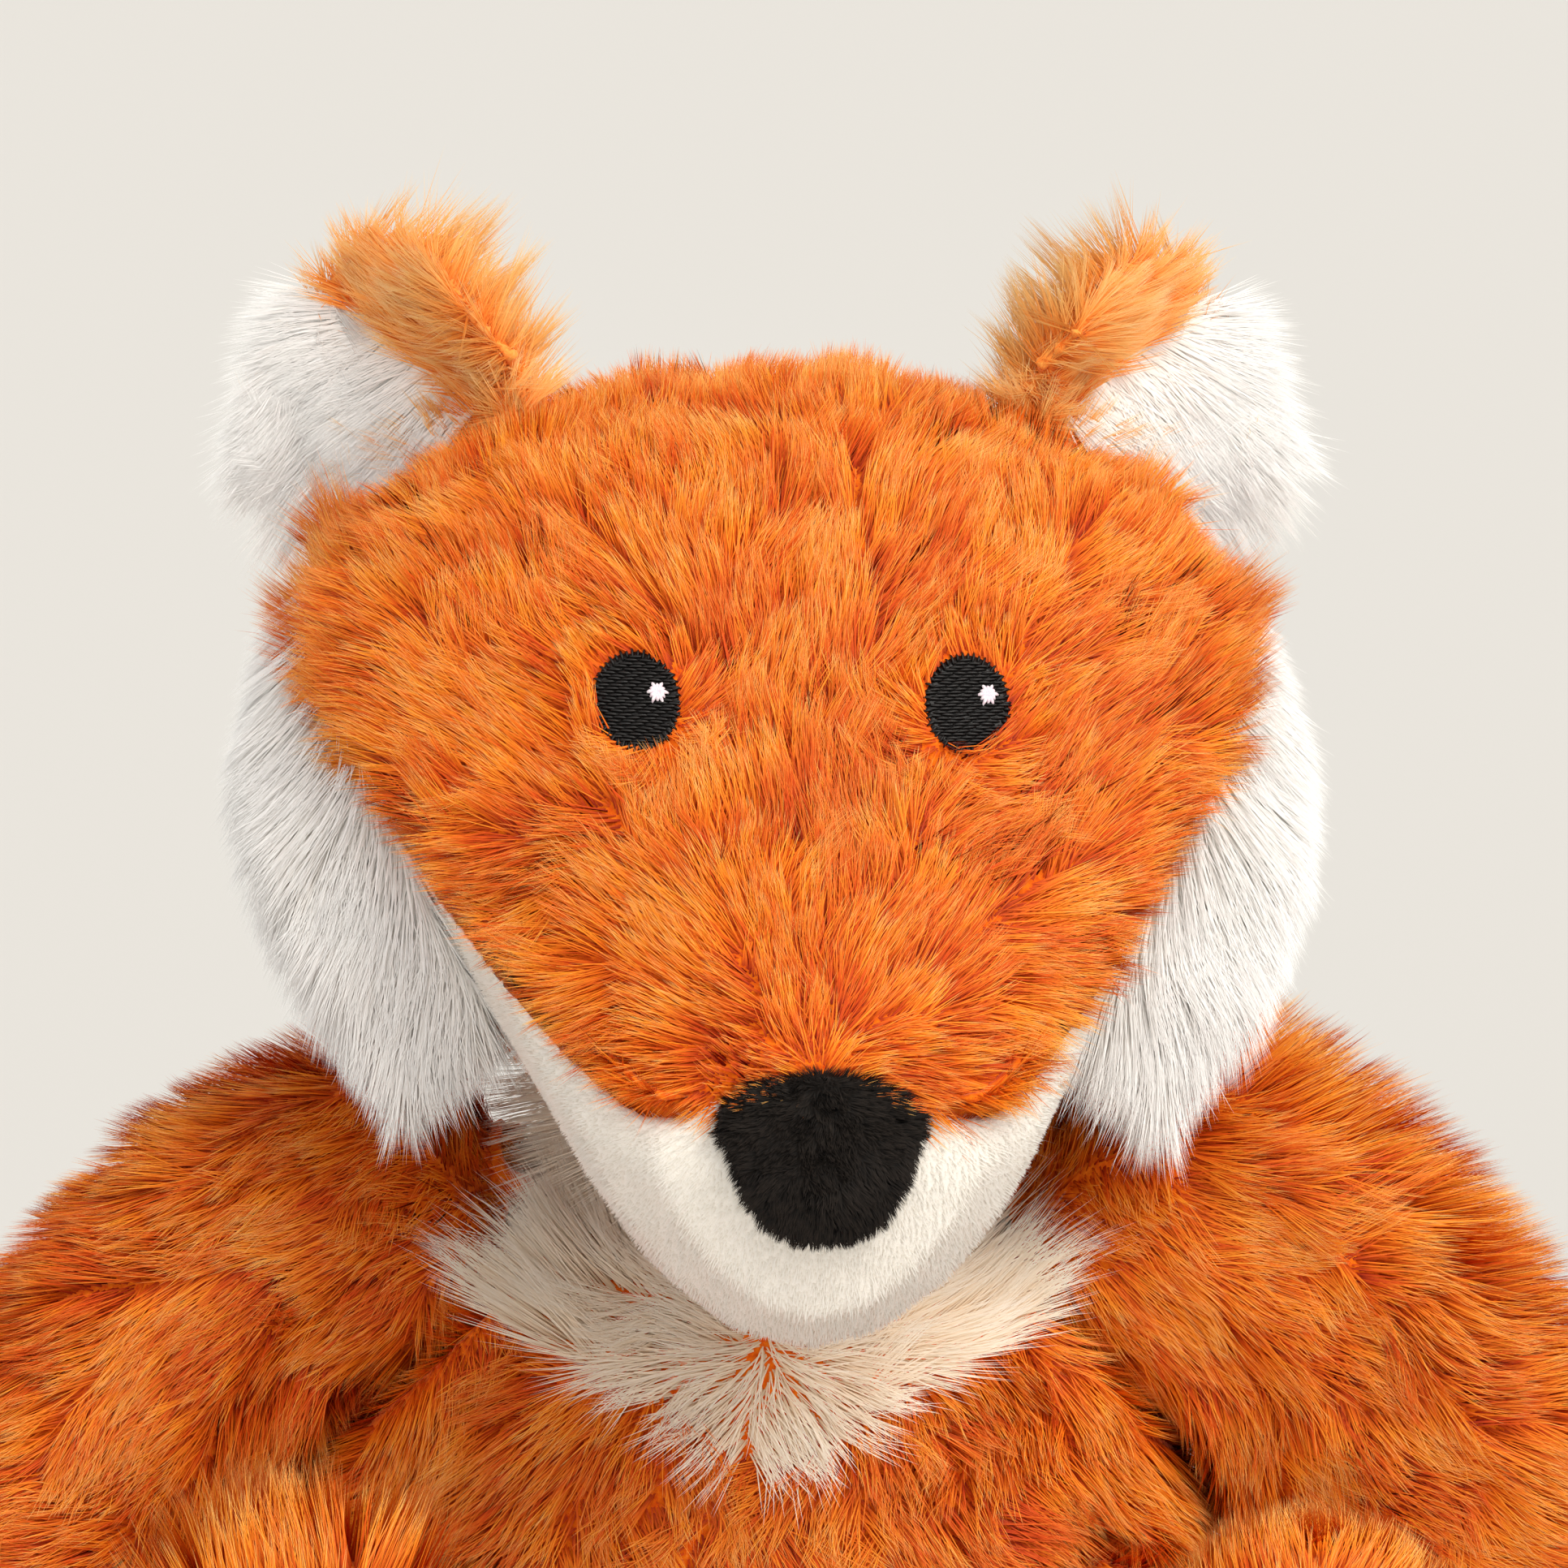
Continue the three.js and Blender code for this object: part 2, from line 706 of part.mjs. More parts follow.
function makeTorso() {
  const hollow = torsoForm(pileWall, coreSides);
  const bag = (margin) => {
    const geometry = new THREE.SphereGeometry(1, coreSides, coreSteps);
    const middle = pileWall + bagHeight / 2 + seamGap;
    geometry.scale(bagRadius + margin, bagRadius + margin, bagHeight / 2 + margin);
    return solid(geometry.translate(0, torsoMiddle + bagBack, middle));
  };
  const shaft = roundCutter(bagRadius + seamGap, pileWall + bagHeight / 2, [0, 0, 1]);
  const pocket = bag(seamGap).add(shaft.translate([0, torsoMiddle + bagBack, 0]));
  const bib = frontPrism(bibOutline, -torsoDepth, torsoMiddle);
  const bibHole = frontPrism(grown(bibOutline, seamGap), -torsoDepth, torsoMiddle + seamGap);
  const cutAll = (from) => sockets.reduce((left, socket) => left.subtract(socket), from);
  const shell = cutAll(aboveGround(torsoForm(0)).subtract(hollow));
  return new THREE.Group().add(
    mesh("torso_cover", shell.subtract(bibHole), finish("orange", 0.9)),
    mesh("chest_bib", shell.intersect(bib), finish("cream", 0.9)),
    mesh(
      "torso_filling",
      cutAll(torsoForm(pileWall + seamGap, coreSides)).subtract(pocket),
      finish("stuffing", 0.95),
    ),
    mesh("pellet_bag", bag(0), finish("pellets", 0.8)),
  );
}

function makeArm(side) {
  const word = side < 0 ? "right" : "left";
  const from = shoulderPlace(side);
  const still = besideTorso(ball(armRadius + jointGap, roomSides), from);
  const beside = swungThrough(still, armSwingShares, [0, side * armSwing, 0]);
  const opening = roundCutter(limbOpening, armRadius + overrun, [-side, 0, 0]);
  const hollow = armForm(side, pileWall, limbCoreSides);
  const cover = armForm(side, 0, limbSides).subtract(hollow).subtract(beside).subtract(opening);
  const filling = armForm(side, pileWall + seamGap, limbCoreSides).subtract(beside);
  return place(new THREE.Group(), from).add(
    mesh(`arm_cover_${word}`, cover, finish("orange", 0.9)),
    mesh(`arm_filling_${word}`, filling, finish("stuffing", 0.95)),
  );
}

function makeLeg(side) {
  const word = side < 0 ? "right" : "left";
  const from = hipPlace(side);
  const room = haunch(haunchRadius + jointGap, haunchWidth / 2 + jointGap, roomSides);
  const beside = besideTorso(room, from);
  const opening = roundCutter(limbOpening, haunchWidth / 2 + overrun, [-side, 0, 0]);
  const hollow = legForm(side, pileWall, limbCoreSides);
  const cover = legForm(side, 0, limbSides).subtract(hollow).subtract(beside).subtract(opening);
  const filling = legForm(side, pileWall + seamGap, limbCoreSides).subtract(beside);
  return place(new THREE.Group(), from).add(
    mesh(`leg_cover_${word}`, cover.trimByPlane([0, 0, 1], -hipHeight), finish("orange", 0.9)),
    mesh(`leg_filling_${word}`, filling, finish("stuffing", 0.95)),
  );
}

function makeTail() {
  const still = besideTorso(ball(tailRootRadius + jointGap, roomSides), tailPlace);
  const beside = swungThrough(still, tailSwingShares, [0, 0, tailSwing]);
  const opening = roundCutter(tailOpening, tailRootRadius + overrun, [0, -1, 0]);
  const hollow = tailForm(pileWall, limbCoreSides);
  const core = tailForm(pileWall + seamGap, limbCoreSides).subtract(beside);
  const split = tailTipShare * tailLength;
  const whole = tailForm(0, limbSides)
    .subtract(hollow)
    .subtract(beside)
    .trimByPlane([0, 0, 1], -tailHeight);
  const base = whole.trimByPlane([0, -1, 0], -split + seamGap / 2).subtract(opening);
  const tip = whole.trimByPlane([0, 1, 0], split + seamGap / 2);
  return place(new THREE.Group(), tailPlace).add(
    mesh("tail_cover", base, finish("orange", 0.9)),
    mesh("tail_tip", tip, finish("white", 0.9)),
    mesh("tail_filling", core, finish("stuffing", 0.95)),
  );
}

const fox = new THREE.Group();
fox.add(makeTorso(), makeNeck(), makeHead(), makeTail());
[-1, 1].forEach((side) => fox.add(makeEar(side), makeArm(side), makeLeg(side)));

// The middle of the whole box comes over the origin
fox.position.y = -new THREE.Box3().setFromObject(fox).getCenter(new THREE.Vector3()).y;

export default fox;
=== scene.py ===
import json
import logging
import math
from dataclasses import dataclass
from enum import Enum
from typing import Sequence

import bmesh
import bpy
import numpy as np
from mathutils import Matrix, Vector
from mathutils.bvhtree import BVHTree


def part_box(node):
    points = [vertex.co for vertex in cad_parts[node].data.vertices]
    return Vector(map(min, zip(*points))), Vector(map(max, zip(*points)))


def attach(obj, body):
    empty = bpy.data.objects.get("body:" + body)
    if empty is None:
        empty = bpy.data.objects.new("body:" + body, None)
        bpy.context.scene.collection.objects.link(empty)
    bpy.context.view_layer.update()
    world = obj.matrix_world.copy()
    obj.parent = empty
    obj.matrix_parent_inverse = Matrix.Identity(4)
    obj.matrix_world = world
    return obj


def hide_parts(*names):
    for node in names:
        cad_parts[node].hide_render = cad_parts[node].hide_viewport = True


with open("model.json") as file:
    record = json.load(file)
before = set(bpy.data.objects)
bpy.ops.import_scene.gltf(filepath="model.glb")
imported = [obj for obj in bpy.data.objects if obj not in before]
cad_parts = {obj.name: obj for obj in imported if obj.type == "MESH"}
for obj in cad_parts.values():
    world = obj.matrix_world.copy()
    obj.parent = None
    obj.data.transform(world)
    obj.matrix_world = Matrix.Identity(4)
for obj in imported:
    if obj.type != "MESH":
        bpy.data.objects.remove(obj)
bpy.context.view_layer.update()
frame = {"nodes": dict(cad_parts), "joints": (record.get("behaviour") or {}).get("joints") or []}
log = logging.getLogger("plush_fox")

MM = 0.001
MERGE = 0.01 * MM
BAKE_MAP = "OFBake"
DEPTH = 5.4 * MM
TOUCH = 2 * MM
NEAR = 14 * MM
NOSE_DROP = 3.4 * MM
SOFT = 0.6
SEAM_DEPTH = 0.35
SEAM_REACH = 0.85
DOWN = np.array([0.0, 0.0, -1.0])
UP = np.array([0.0, 0.0, 1.0])
BACK = np.array([0.0, 1.0, 0.0])
SIDES = (("right", -1), ("left", 1))


def linear(colour: Sequence[int]) -> tuple[float, float, float, float]:
    """Turns an 8-bit display colour into the linear colour that a shader takes.

    Args:
        colour: Red, green and blue from 0 to 255.

    Returns:
        Linear red, green, blue and an alpha of 1.
    """
    shares = [c / 255 for c in colour]
    red, green, blue = [s / 12.92 if s <= 0.04045 else ((s + 0.055) / 1.055) ** 2.4 for s in shares]
    return red, green, blue, 1.0


def unit(vectors: np.ndarray) -> np.ndarray:
    """Scales each row to length 1.

    Args:
        vectors: Rows of three numbers.

    Returns:
        The same directions at unit length.
    """
    return vectors / np.maximum(np.linalg.norm(vectors, axis=-1, keepdims=True), 1e-12)


def eased(values: np.ndarray, low: float, high: float) -> np.ndarray:
    """Rises smoothly from 0 at low to 1 at high.

    Args:
        values: Numbers to ease.
        low: Where the rise starts.
        high: Where it ends.

    Returns:
        Shares from 0 to 1.
    """
    share = np.clip((values - low) / (high - low), 0, 1)
    return share * share * (3 - 2 * share)


def at_least(low: float, share: np.ndarray) -> np.ndarray:
    """Rises from a low value to 1 as a share goes from 0 to 1."""
    return low + (1 - low) * share


def corners(node: str) -> tuple[np.ndarray, np.ndarray]:
    """Gives the low and the high corner of a CAD node's box."""
    low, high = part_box(node)
    return np.array(low), np.array(high)


def middle(node: str) -> np.ndarray:
    """Finds the middle of a CAD node's box, in metres."""
    low, high = corners(node)
    return (low + high) / 2


def joint_place(name: str) -> np.ndarray:
    """Finds the place where a joint turns, in metres."""
    return np.array(next(j["pos_m"] for j in frame["joints"] if j["name"] == name))


def vec(*parts: float) -> np.ndarray:
    """Makes a vector of plain numbers."""
    return np.array(parts, float)


def added(name: str, data: bpy.types.ID | None) -> bpy.types.Object:
    """Puts an object in the scene.

    Args:
        name: Its name.
        data: Its mesh, camera or lamp.

    Returns:
        The object.
    """
    made = bpy.data.objects.new(name, data)
    bpy.context.scene.collection.objects.link(made)
    return made


def table(
    items: bpy.types.bpy_prop_collection, name: str, width: int = 3, kind: type = np.float32
) -> np.ndarray:
    """Reads one property of many mesh elements.

    Args:
        items: The elements.
        name: The property.
        width: How many numbers it has.
        kind: Their type.

    Returns:
        One row for each element.
    """
    flat = np.zeros(len(items) * width, kind)
    items.foreach_get(name, flat)
    return flat.reshape(-1, width)


class Shader:
    """A node material with one Principled BSDF."""

    def __init__(self, name: str, roughness: float, sheen: float, specular: float = 0.35) -> None:
        """Makes the material and sets the numbers that are the same all over it.

        Args:
            name: The material's name.
            roughness: Principled roughness.
            sheen: Principled sheen weight.
            specular: Principled specular level.
        """
        self.material = bpy.data.materials.new(name)
        self.material.use_nodes = True
        self.tree = self.material.node_tree
        self.surface = self.tree.nodes["Principled BSDF"]
        self.surface.inputs["Roughness"].default_value = roughness
        self.surface.inputs["Specular IOR Level"].default_value = specular
        self.surface.inputs["Sheen Weight"].default_value = sheen
        self.surface.inputs["Sheen Roughness"].default_value = 0.5

    def node(self, kind: str, **settings: object) -> bpy.types.Node:
        """Adds a node and sets its properties.

        Args:
            kind: The node's type.
            settings: Its properties.

        Returns:
            The node.
        """
        made = self.tree.nodes.new(kind)
        for key, value in settings.items():
            setattr(made, key, value)
        return made

    def link(self, start: bpy.types.NodeSocket, end: bpy.types.NodeSocket) -> None:
        """Joins two sockets."""
        self.tree.links.new(start, end)

    def ramp(self, value: bpy.types.NodeSocket, stops: Sequence[tuple]) -> bpy.types.NodeSocket:
        """Turns a number into a colour.

        Args:
            value: The number.
            stops: Places from 0 to 1, each with a display colour.

        Returns:
            The colour's socket.
        """
        made = self.node("ShaderNodeValToRGB")
        elements = made.color_ramp.elements
        while len(elements) < len(stops):
            elements.new(0.5)
        for element, (place, colour) in zip(elements, stops):
            element.position = place
            element.color = linear(colour)
        self.link(value, made.inputs["Fac"])
        return made.outputs["Color"]

    def mix(self, share: bpy.types.NodeSocket, low: object, high: object) -> bpy.types.NodeSocket:
        """Mixes two colours by a share.

        Args:
            share: The share's socket.
            low: Socket of the colour at 0.
            high: Socket of the colour at 1.

        Returns:
            The mixed colour's socket.
        """
        made = self.node("ShaderNodeMix", data_type="RGBA")
        self.link(share, made.inputs[0])
        self.link(low, made.inputs[6])
        self.link(high, made.inputs[7])
        return made.outputs[2]

    def noise(self, scale: float, detail: float = 2.0) -> bpy.types.NodeSocket:
        """Makes noise in the object's own coordinates.

        Args:
            scale: Noise scale for each metre.
            detail: Noise detail.

        Returns:
            The noise value's socket.
        """
        place = self.node("ShaderNodeTexCoord")
        made = self.node("ShaderNodeTexNoise")
        made.inputs["Scale"].default_value = scale
        made.inputs["Detail"].default_value = detail
        self.link(place.outputs["Object"], made.inputs["Vector"])
        return made.outputs["Fac"]

    def bump(self, height: bpy.types.NodeSocket, depth: float) -> None:
        """Raises the surface by a height.

        Args:
            height: The height's socket.
            depth: How far it stands up, in metres.
        """
        made = self.node("ShaderNodeBump")
        made.inputs["Strength"].default_value = 0.7
        made.inputs["Distance"].default_value = depth
        self.link(height, made.inputs["Height"])
        self.link(made.outputs["Normal"], self.surface.inputs["Normal"])


@dataclass(frozen=True)
class GrainFinish:
    """A fine grain of two colours: cloth, embroidery thread or loose fibre."""

    name: str
    low: tuple[int, int, int]
    high: tuple[int, int, int]
    scales: tuple[float, float]
    depth: float
    roughness: float
    sheen: float
    specular: float
    details: tuple[float, float] = (2.0, 2.0)
    spread: float = 0.2

    def material(self) -> bpy.types.Material:
        """Makes the material: one noise for its colour and one for its bump.

        Returns:
            The material.
        """
        shader = Shader(self.name, self.roughness, self.sheen, self.specular)
        grain = shader.noise(self.scales[0], self.details[0])
        stops = [(0.5 - self.spread, self.low), (0.5 + self.spread, self.high)]
        shader.link(shader.ramp(grain, stops), shader.surface.inputs["Base Color"])
        shader.bump(shader.noise(self.scales[1], self.details[1]), self.depth)
        return shader.material


@dataclass(frozen=True)
class PileFinish:
    """A pile's colours along its fibres, for a dark fibre and for a light one, with painted shade at the
    roots.
    """

    name: str
    dark: tuple[tuple[int, int, int], ...]
    light: tuple[tuple[int, int, int], ...]
    stops: tuple[float, ...] = (0.0, 0.32, 0.7, 1.0)
    flatten: float = 0.7
    roughness: float = 0.6
    record_slot: str = ""

    @property
    def slot(self) -> str:
        """The record's material slot."""
        return self.record_slot or self.name

    def fibres(self) -> bpy.types.Material:
        """Makes the fibres' material, whose colour runs from a darker root, painted shade, to a paler
        tip, partly painted light.

        Returns:
            The material. It reads the fibres' own map: tone across, root to tip up.
        """
        shader = Shader(f"{self.name}_fibres", self.roughness, 0.0, 0.2)
        place = shader.node("ShaderNodeUVMap", uv_map=BAKE_MAP)
        parts = shader.node("ShaderNodeSeparateXYZ")
        shader.link(place.outputs["UV"], parts.inputs["Vector"])
        stretch = shader.node("ShaderNodeVectorMath", operation="MULTIPLY")
        stretch.inputs[1].default_value = (150.0, 2.0, 1.0)
        shader.link(place.outputs["UV"], stretch.inputs[0])
        streak = shader.node("ShaderNodeTexNoise", noise_dimensions="2D")
        streak.inputs["Scale"].default_value = 1.0
        streak.inputs["Detail"].default_value = 0.0
        shader.link(stretch.outputs[0], streak.inputs["Vector"])
        spread = shader.node("ShaderNodeMath", operation="MULTIPLY_ADD")
        spread.inputs[1].default_value, spread.inputs[2].default_value = 1.1, -0.55
        shader.link(streak.outputs["Fac"], spread.inputs[0])
        tone = shader.node("ShaderNodeMath", operation="ADD", use_clamp=True)
        shader.link(parts.outputs["X"], tone.inputs[0])
        shader.link(spread.outputs[0], tone.inputs[1])
        dark = shader.ramp(parts.outputs["Y"], list(zip(self.stops, self.dark)))
        light = shader.ramp(parts.outputs["Y"], list(zip(self.stops, self.light)))
        colour = shader.mix(tone.outputs[0], dark, light)
        shader.link(colour, shader.surface.inputs["Base Color"])
        return shader.material

    def cloth(self) -> bpy.types.Material:
        """Makes the backing cloth's material, in the colours of the lower pile."""
        name, grain = f"{self.name}_cloth", (900.0, 2600.0)
        return GrainFinish(name, self.dark[2], self.light[1], grain, 0.2 * MM, 0.9, 0.1, 0.2).material()


# Deep red roots, most of all in the dark ramp: painted shade of the deep pile.
ORANGE = PileFinish(
    "orange_pile",
    dark=((140, 22, 0), (198, 50, 0), (228, 80, 0), (246, 120, 18)),
    light=((216, 68, 0), (255, 132, 14), (255, 168, 46), (255, 216, 140)),
)
# A paler orange than the body's pile: painted light, for light shining through the thin ear.
EAR_PAINTED_LIGHT = PileFinish(
    "ear_painted_light_pile",
    dark=((236, 98, 14), (255, 136, 40), (255, 160, 72), (255, 190, 118)),
    light=((248, 124, 34), (255, 168, 78), (255, 198, 120), (255, 226, 176)),
    record_slot="orange_pile",
)
WHITE = PileFinish(
    "white_pile",
    dark=((238, 233, 226), (247, 243, 238), (251, 249, 246), (253, 252, 250)),
    light=((246, 242, 237), (252, 250, 247), (254, 253, 252), (255, 255, 254)),
    flatten=0.95,
)
CREAM = PileFinish(
    "cream_pile",
    dark=((226, 192, 156), (246, 222, 194), (250, 232, 208), (252, 240, 224)),
    light=((240, 212, 180), (252, 236, 214), (254, 244, 228), (255, 250, 242)),
    flatten=0.9,
)
JAW = PileFinish(
    "jaw_pile",
    dark=((228, 220, 206), (240, 234, 223), (245, 240, 231), (248, 244, 237)),
    light=((236, 229, 217), (246, 241, 232), (250, 246, 239), (253, 250, 245)),
    flatten=0.9,
)
BLACK = PileFinish(
    "black_pile",
    dark=((8, 6, 4), (16, 12, 9), (24, 18, 14), (34, 27, 22)),
    light=((14, 10, 7), (26, 20, 15), (38, 30, 24), (54, 45, 38)),
    flatten=0.6,
    roughness=0.7,
)
THREAD = {"scales": (2500.0, 6000.0), "depth": 0.05 * MM, "sheen": 0.0, "specular": 0.38, "spread": 0.15}
EYE_THREAD = GrainFinish("eye_thread", (5, 3, 3), (15, 11, 9), roughness=0.4, **THREAD)
GLINT_THREAD = GrainFinish("glint_thread", (236, 214, 226), (252, 246, 250), roughness=0.42, **THREAD)
LOOSE = {"depth": 0.6 * MM, "roughness": 0.95, "sheen": 0.3, "specular": 0.2, "details": (6.0, 8.0)}
STUFFING = GrainFinish("stuffing", (222, 222, 216), (246, 246, 243), (400.0, 400.0), **LOOSE)
PELLET_CLOTH = GrainFinish("pellet_cloth", (196, 188, 170), (222, 216, 202), (1500.0, 1500.0), **LOOSE)


class Form:
    """A closed surface that is reshaped point by point."""

    def __init__(self, mesh: bpy.types.Mesh) -> None:
        """Takes a mesh over.

        Args:
            mesh: The mesh, which is changed in place.
        """
        self.mesh = mesh
        self.fields: dict[str, np.ndarray] = {}
        self.edges = table(mesh.edges, "vertices", 2, np.int32)

    @property
    def points(self) -> np.ndarray:
        """The points, one row each."""
        return table(self.mesh.vertices, "co").astype(float)

    @points.setter
    def points(self, places: np.ndarray) -> None:
        """Moves the points."""
        self.mesh.vertices.foreach_set("co", places.astype(np.float32).ravel())
        self.mesh.update()

    @property
    def normals(self) -> np.ndarray:
        """The outward direction at each point."""
        return table(self.mesh.vertices, "normal").astype(float)

    def spread(self, values: np.ndarray) -> np.ndarray:
        """Averages a value over each point's neighbours.

        Args:
            values: One row for each point.

        Returns:
            The averages, in the same order.
        """
        count = len(values)
        ends = np.concatenate([self.edges, self.edges[:, ::-1]])
        share = np.maximum(np.bincount(ends[:, 0], minlength=count), 1)
        columns = [
            np.bincount(ends[:, 0], weights=column[ends[:, 1]], minlength=count) / share
            for column in values.reshape(count, -1).T
        ]
        return np.stack(columns, -1).reshape(values.shape)

    def smoothed(self, places: np.ndarray, amount: float) -> np.ndarray:
        """Takes places a share of the way to their neighbours' average."""
        return places + amount * (self.spread(places) - places)

    def relax(self, rounds: int) -> "Form":
        """Smooths facets away, keeping the volume.

        Args:
            rounds: How often.

        Returns:
            The form itself.
        """
        for _ in range(rounds):
            self.points = self.smoothed(self.smoothed(self.points, 0.5), -0.52)
        return self

    def blurred(self, values: np.ndarray, rounds: int) -> np.ndarray:
        """Spreads a value over the surface again and again."""
        for _ in range(rounds):
            values = self.spread(values)
        return values

    def depths(self, depth: float, share: float = 0.4) -> np.ndarray:
        """Finds how far each point may be drawn in before the surface meets itself.

        Args:
            depth: The full depth.
            share: The most that a thin place gives of its own thickness.

        Returns:
            A depth for each point.
        """
        tree = BVHTree.FromPolygons(self.points.tolist(), [tuple(f.vertices) for f in self.mesh.polygons])
        inward = -self.normals
        starts = self.points + inward * 0.05 * MM
        through = [tree.ray_cast(start, way)[3] for start, way in zip(starts, inward)]
        thick = np.array([2 * depth / share if t is None else t for t in through])
        return self.blurred(np.minimum(depth, share * thick), 5)

    def shrink(self, depth: np.ndarray | float, rounds: int) -> "Form":
        """Draws the surface in along its normals, smoothing as it goes.

        Args:
            depth: How far, in metres, for the whole surface or each point.
            rounds: In how many steps.

        Returns:
            The form itself.
        """
        step = np.broadcast_to(np.asarray(depth, float), (len(self.mesh.vertices),))[:, None] / rounds
        for _ in range(rounds):
            self.points = self.points - self.normals * step
            self.points = self.smoothed(self.points, 0.35)
        return self

    def round_off(self, rounds: int) -> "Form":
        """Draws thin edges in by plain smoothing.

        Args:
            rounds: How often.

        Returns:
            The form itself.
        """
        for _ in range(rounds):
            self.points = self.smoothed(self.points, 0.5)
        return self

    def nearness(self, *nodes: str) -> np.ndarray:
        """Measures how near each point lies to some CAD nodes, in metres."""
        tree = surface_tree(nodes)
        return np.array([tree.find_nearest(p)[3] for p in self.points])

    def freedom(self, *nodes: str) -> np.ndarray:
        """Rises from 0 where the skin touches other covers to 1 where it is free of them."""
        return eased(self.nearness(*nodes), TOUCH, NEAR)

    def object(self, name: str) -> bpy.types.Object:
        """Puts a smooth-shaded copy of the surface in the scene.

        Args:
            name: The object's name.

        Returns:
            The object.
        """
        made = added(name, self.mesh.copy())
        made.data.shade_smooth()
        return made


def merged_nodes(nodes: Sequence[str]) -> bmesh.types.BMesh:
    """Copies CAD nodes' meshes into one, with shared points merged.

    Args:
        nodes: The nodes' names.

    Returns:
        The joined mesh.
    """
    joined = bmesh.new()
    for name in nodes:
        joined.from_mesh(frame["nodes"][name].data)
    bmesh.ops.remove_doubles(joined, verts=joined.verts, dist=MERGE)
    return joined


def surface_tree(nodes: Sequence[str]) -> BVHTree:
    """Makes a search tree over CAD nodes' surfaces.

    Args:
        nodes: The nodes' names.

    Returns:
        The search tree.
    """
    joined = merged_nodes(nodes)
    tree = BVHTree.FromBMesh(joined)
    joined.free()
    return tree


def evaluated(piece: bpy.types.Object) -> bpy.types.Mesh:
    """Applies an object's modifiers and removes the object.

    Args:
        piece: The object.

    Returns:
        The resulting mesh.
    """
    graph = bpy.context.evaluated_depsgraph_get()
    made = bpy.data.meshes.new_from_object(piece.evaluated_get(graph))
    piece.modifiers.clear()
    bpy.data.objects.remove(piece)
    return made


def skin_of(nodes: Sequence[str], voxel: float, rounds: int = 12) -> Form:
    """Makes one smooth outer skin over CAD nodes.

    Args:
        nodes: The nodes' names.
        voxel: Size of the remesh in metres.
        rounds: How often the facets are smoothed.

    Returns:
        The skin, without inner pockets.
    """
    joined = merged_nodes(nodes)
    source = bpy.data.meshes.new("source")
    joined.to_mesh(source)
    joined.free()
    piece = added("source", source)
    remesh = piece.modifiers.new("remesh", "REMESH")
    remesh.mode = "VOXEL"
    remesh.voxel_size = voxel
    mesh = evaluated(piece)
    keep_largest(mesh)
    return Form(mesh).relax(rounds)


def keep_largest(mesh: bpy.types.Mesh) -> None:
    """Deletes every island of a mesh but the one with the largest box.

    Args:
        mesh: The mesh, which is changed in place.
    """
    islands = bmesh.new()
    islands.from_mesh(mesh)
    left = set(islands.verts)
    best: list = []
    best_size = -1.0
    while left:
        start = left.pop()
        island = [start]
        for vertex in island:
            for edge in vertex.link_edges:
                other = edge.other_vert(vertex)
                if other in left:
                    left.remove(other)
                    island.append(other)
        places = np.array([v.co for v in island])
        size = float(np.linalg.norm(places.max(0) - places.min(0)))
        if size > best_size:
            best, best_size = island, size
    kept = set(best)
    bmesh.ops.delete(islands, geom=[v for v in islands.verts if v not in kept], context="VERTS")
    islands.to_mesh(mesh)
    islands.free()


class Kind(Enum):
    """What a value of a node tree holds."""

    NUMBER = "FLOAT"
    VECTOR = "FLOAT_VECTOR"
    PLANE = "FLOAT2"


class Value:
    """A number or a vector in a node tree. Plain arithmetic with it adds the nodes."""

    def __init__(self, tree: "Tree", socket: bpy.types.NodeSocket, is_vector: bool = False) -> None:
        """Takes a socket over."""
        self.tree, self.socket, self.is_vector = tree, socket, is_vector

    def do(self, operation: str, *others: object) -> "Value":
        """Adds one step of arithmetic that starts from this value."""
        return self.tree.math(self.is_vector, operation, self, *others)

    def __add__(self, other: object) -> "Value":
        """Adds."""
        return self.do("ADD", other)

    def __sub__(self, other: object) -> "Value":
        """Subtracts."""
        return self.do("SUBTRACT", other)

    def __rsub__(self, other: object) -> "Value":
        """Subtracts this value from another."""
        return self.tree.math(self.is_vector, "SUBTRACT", other, self)

    def __mul__(self, other: object) -> "Value":
        """Multiplies a number, or scales a vector."""
        return self.do("SCALE" if self.is_vector else "MULTIPLY", other)

    def __truediv__(self, other: object) -> "Value":
        """Divides."""
        return self.do("DIVIDE", other)

    def __rtruediv__(self, other: object) -> "Value":
        """Divides another by this value."""
        return self.tree.math(self.is_vector, "DIVIDE", other, self)


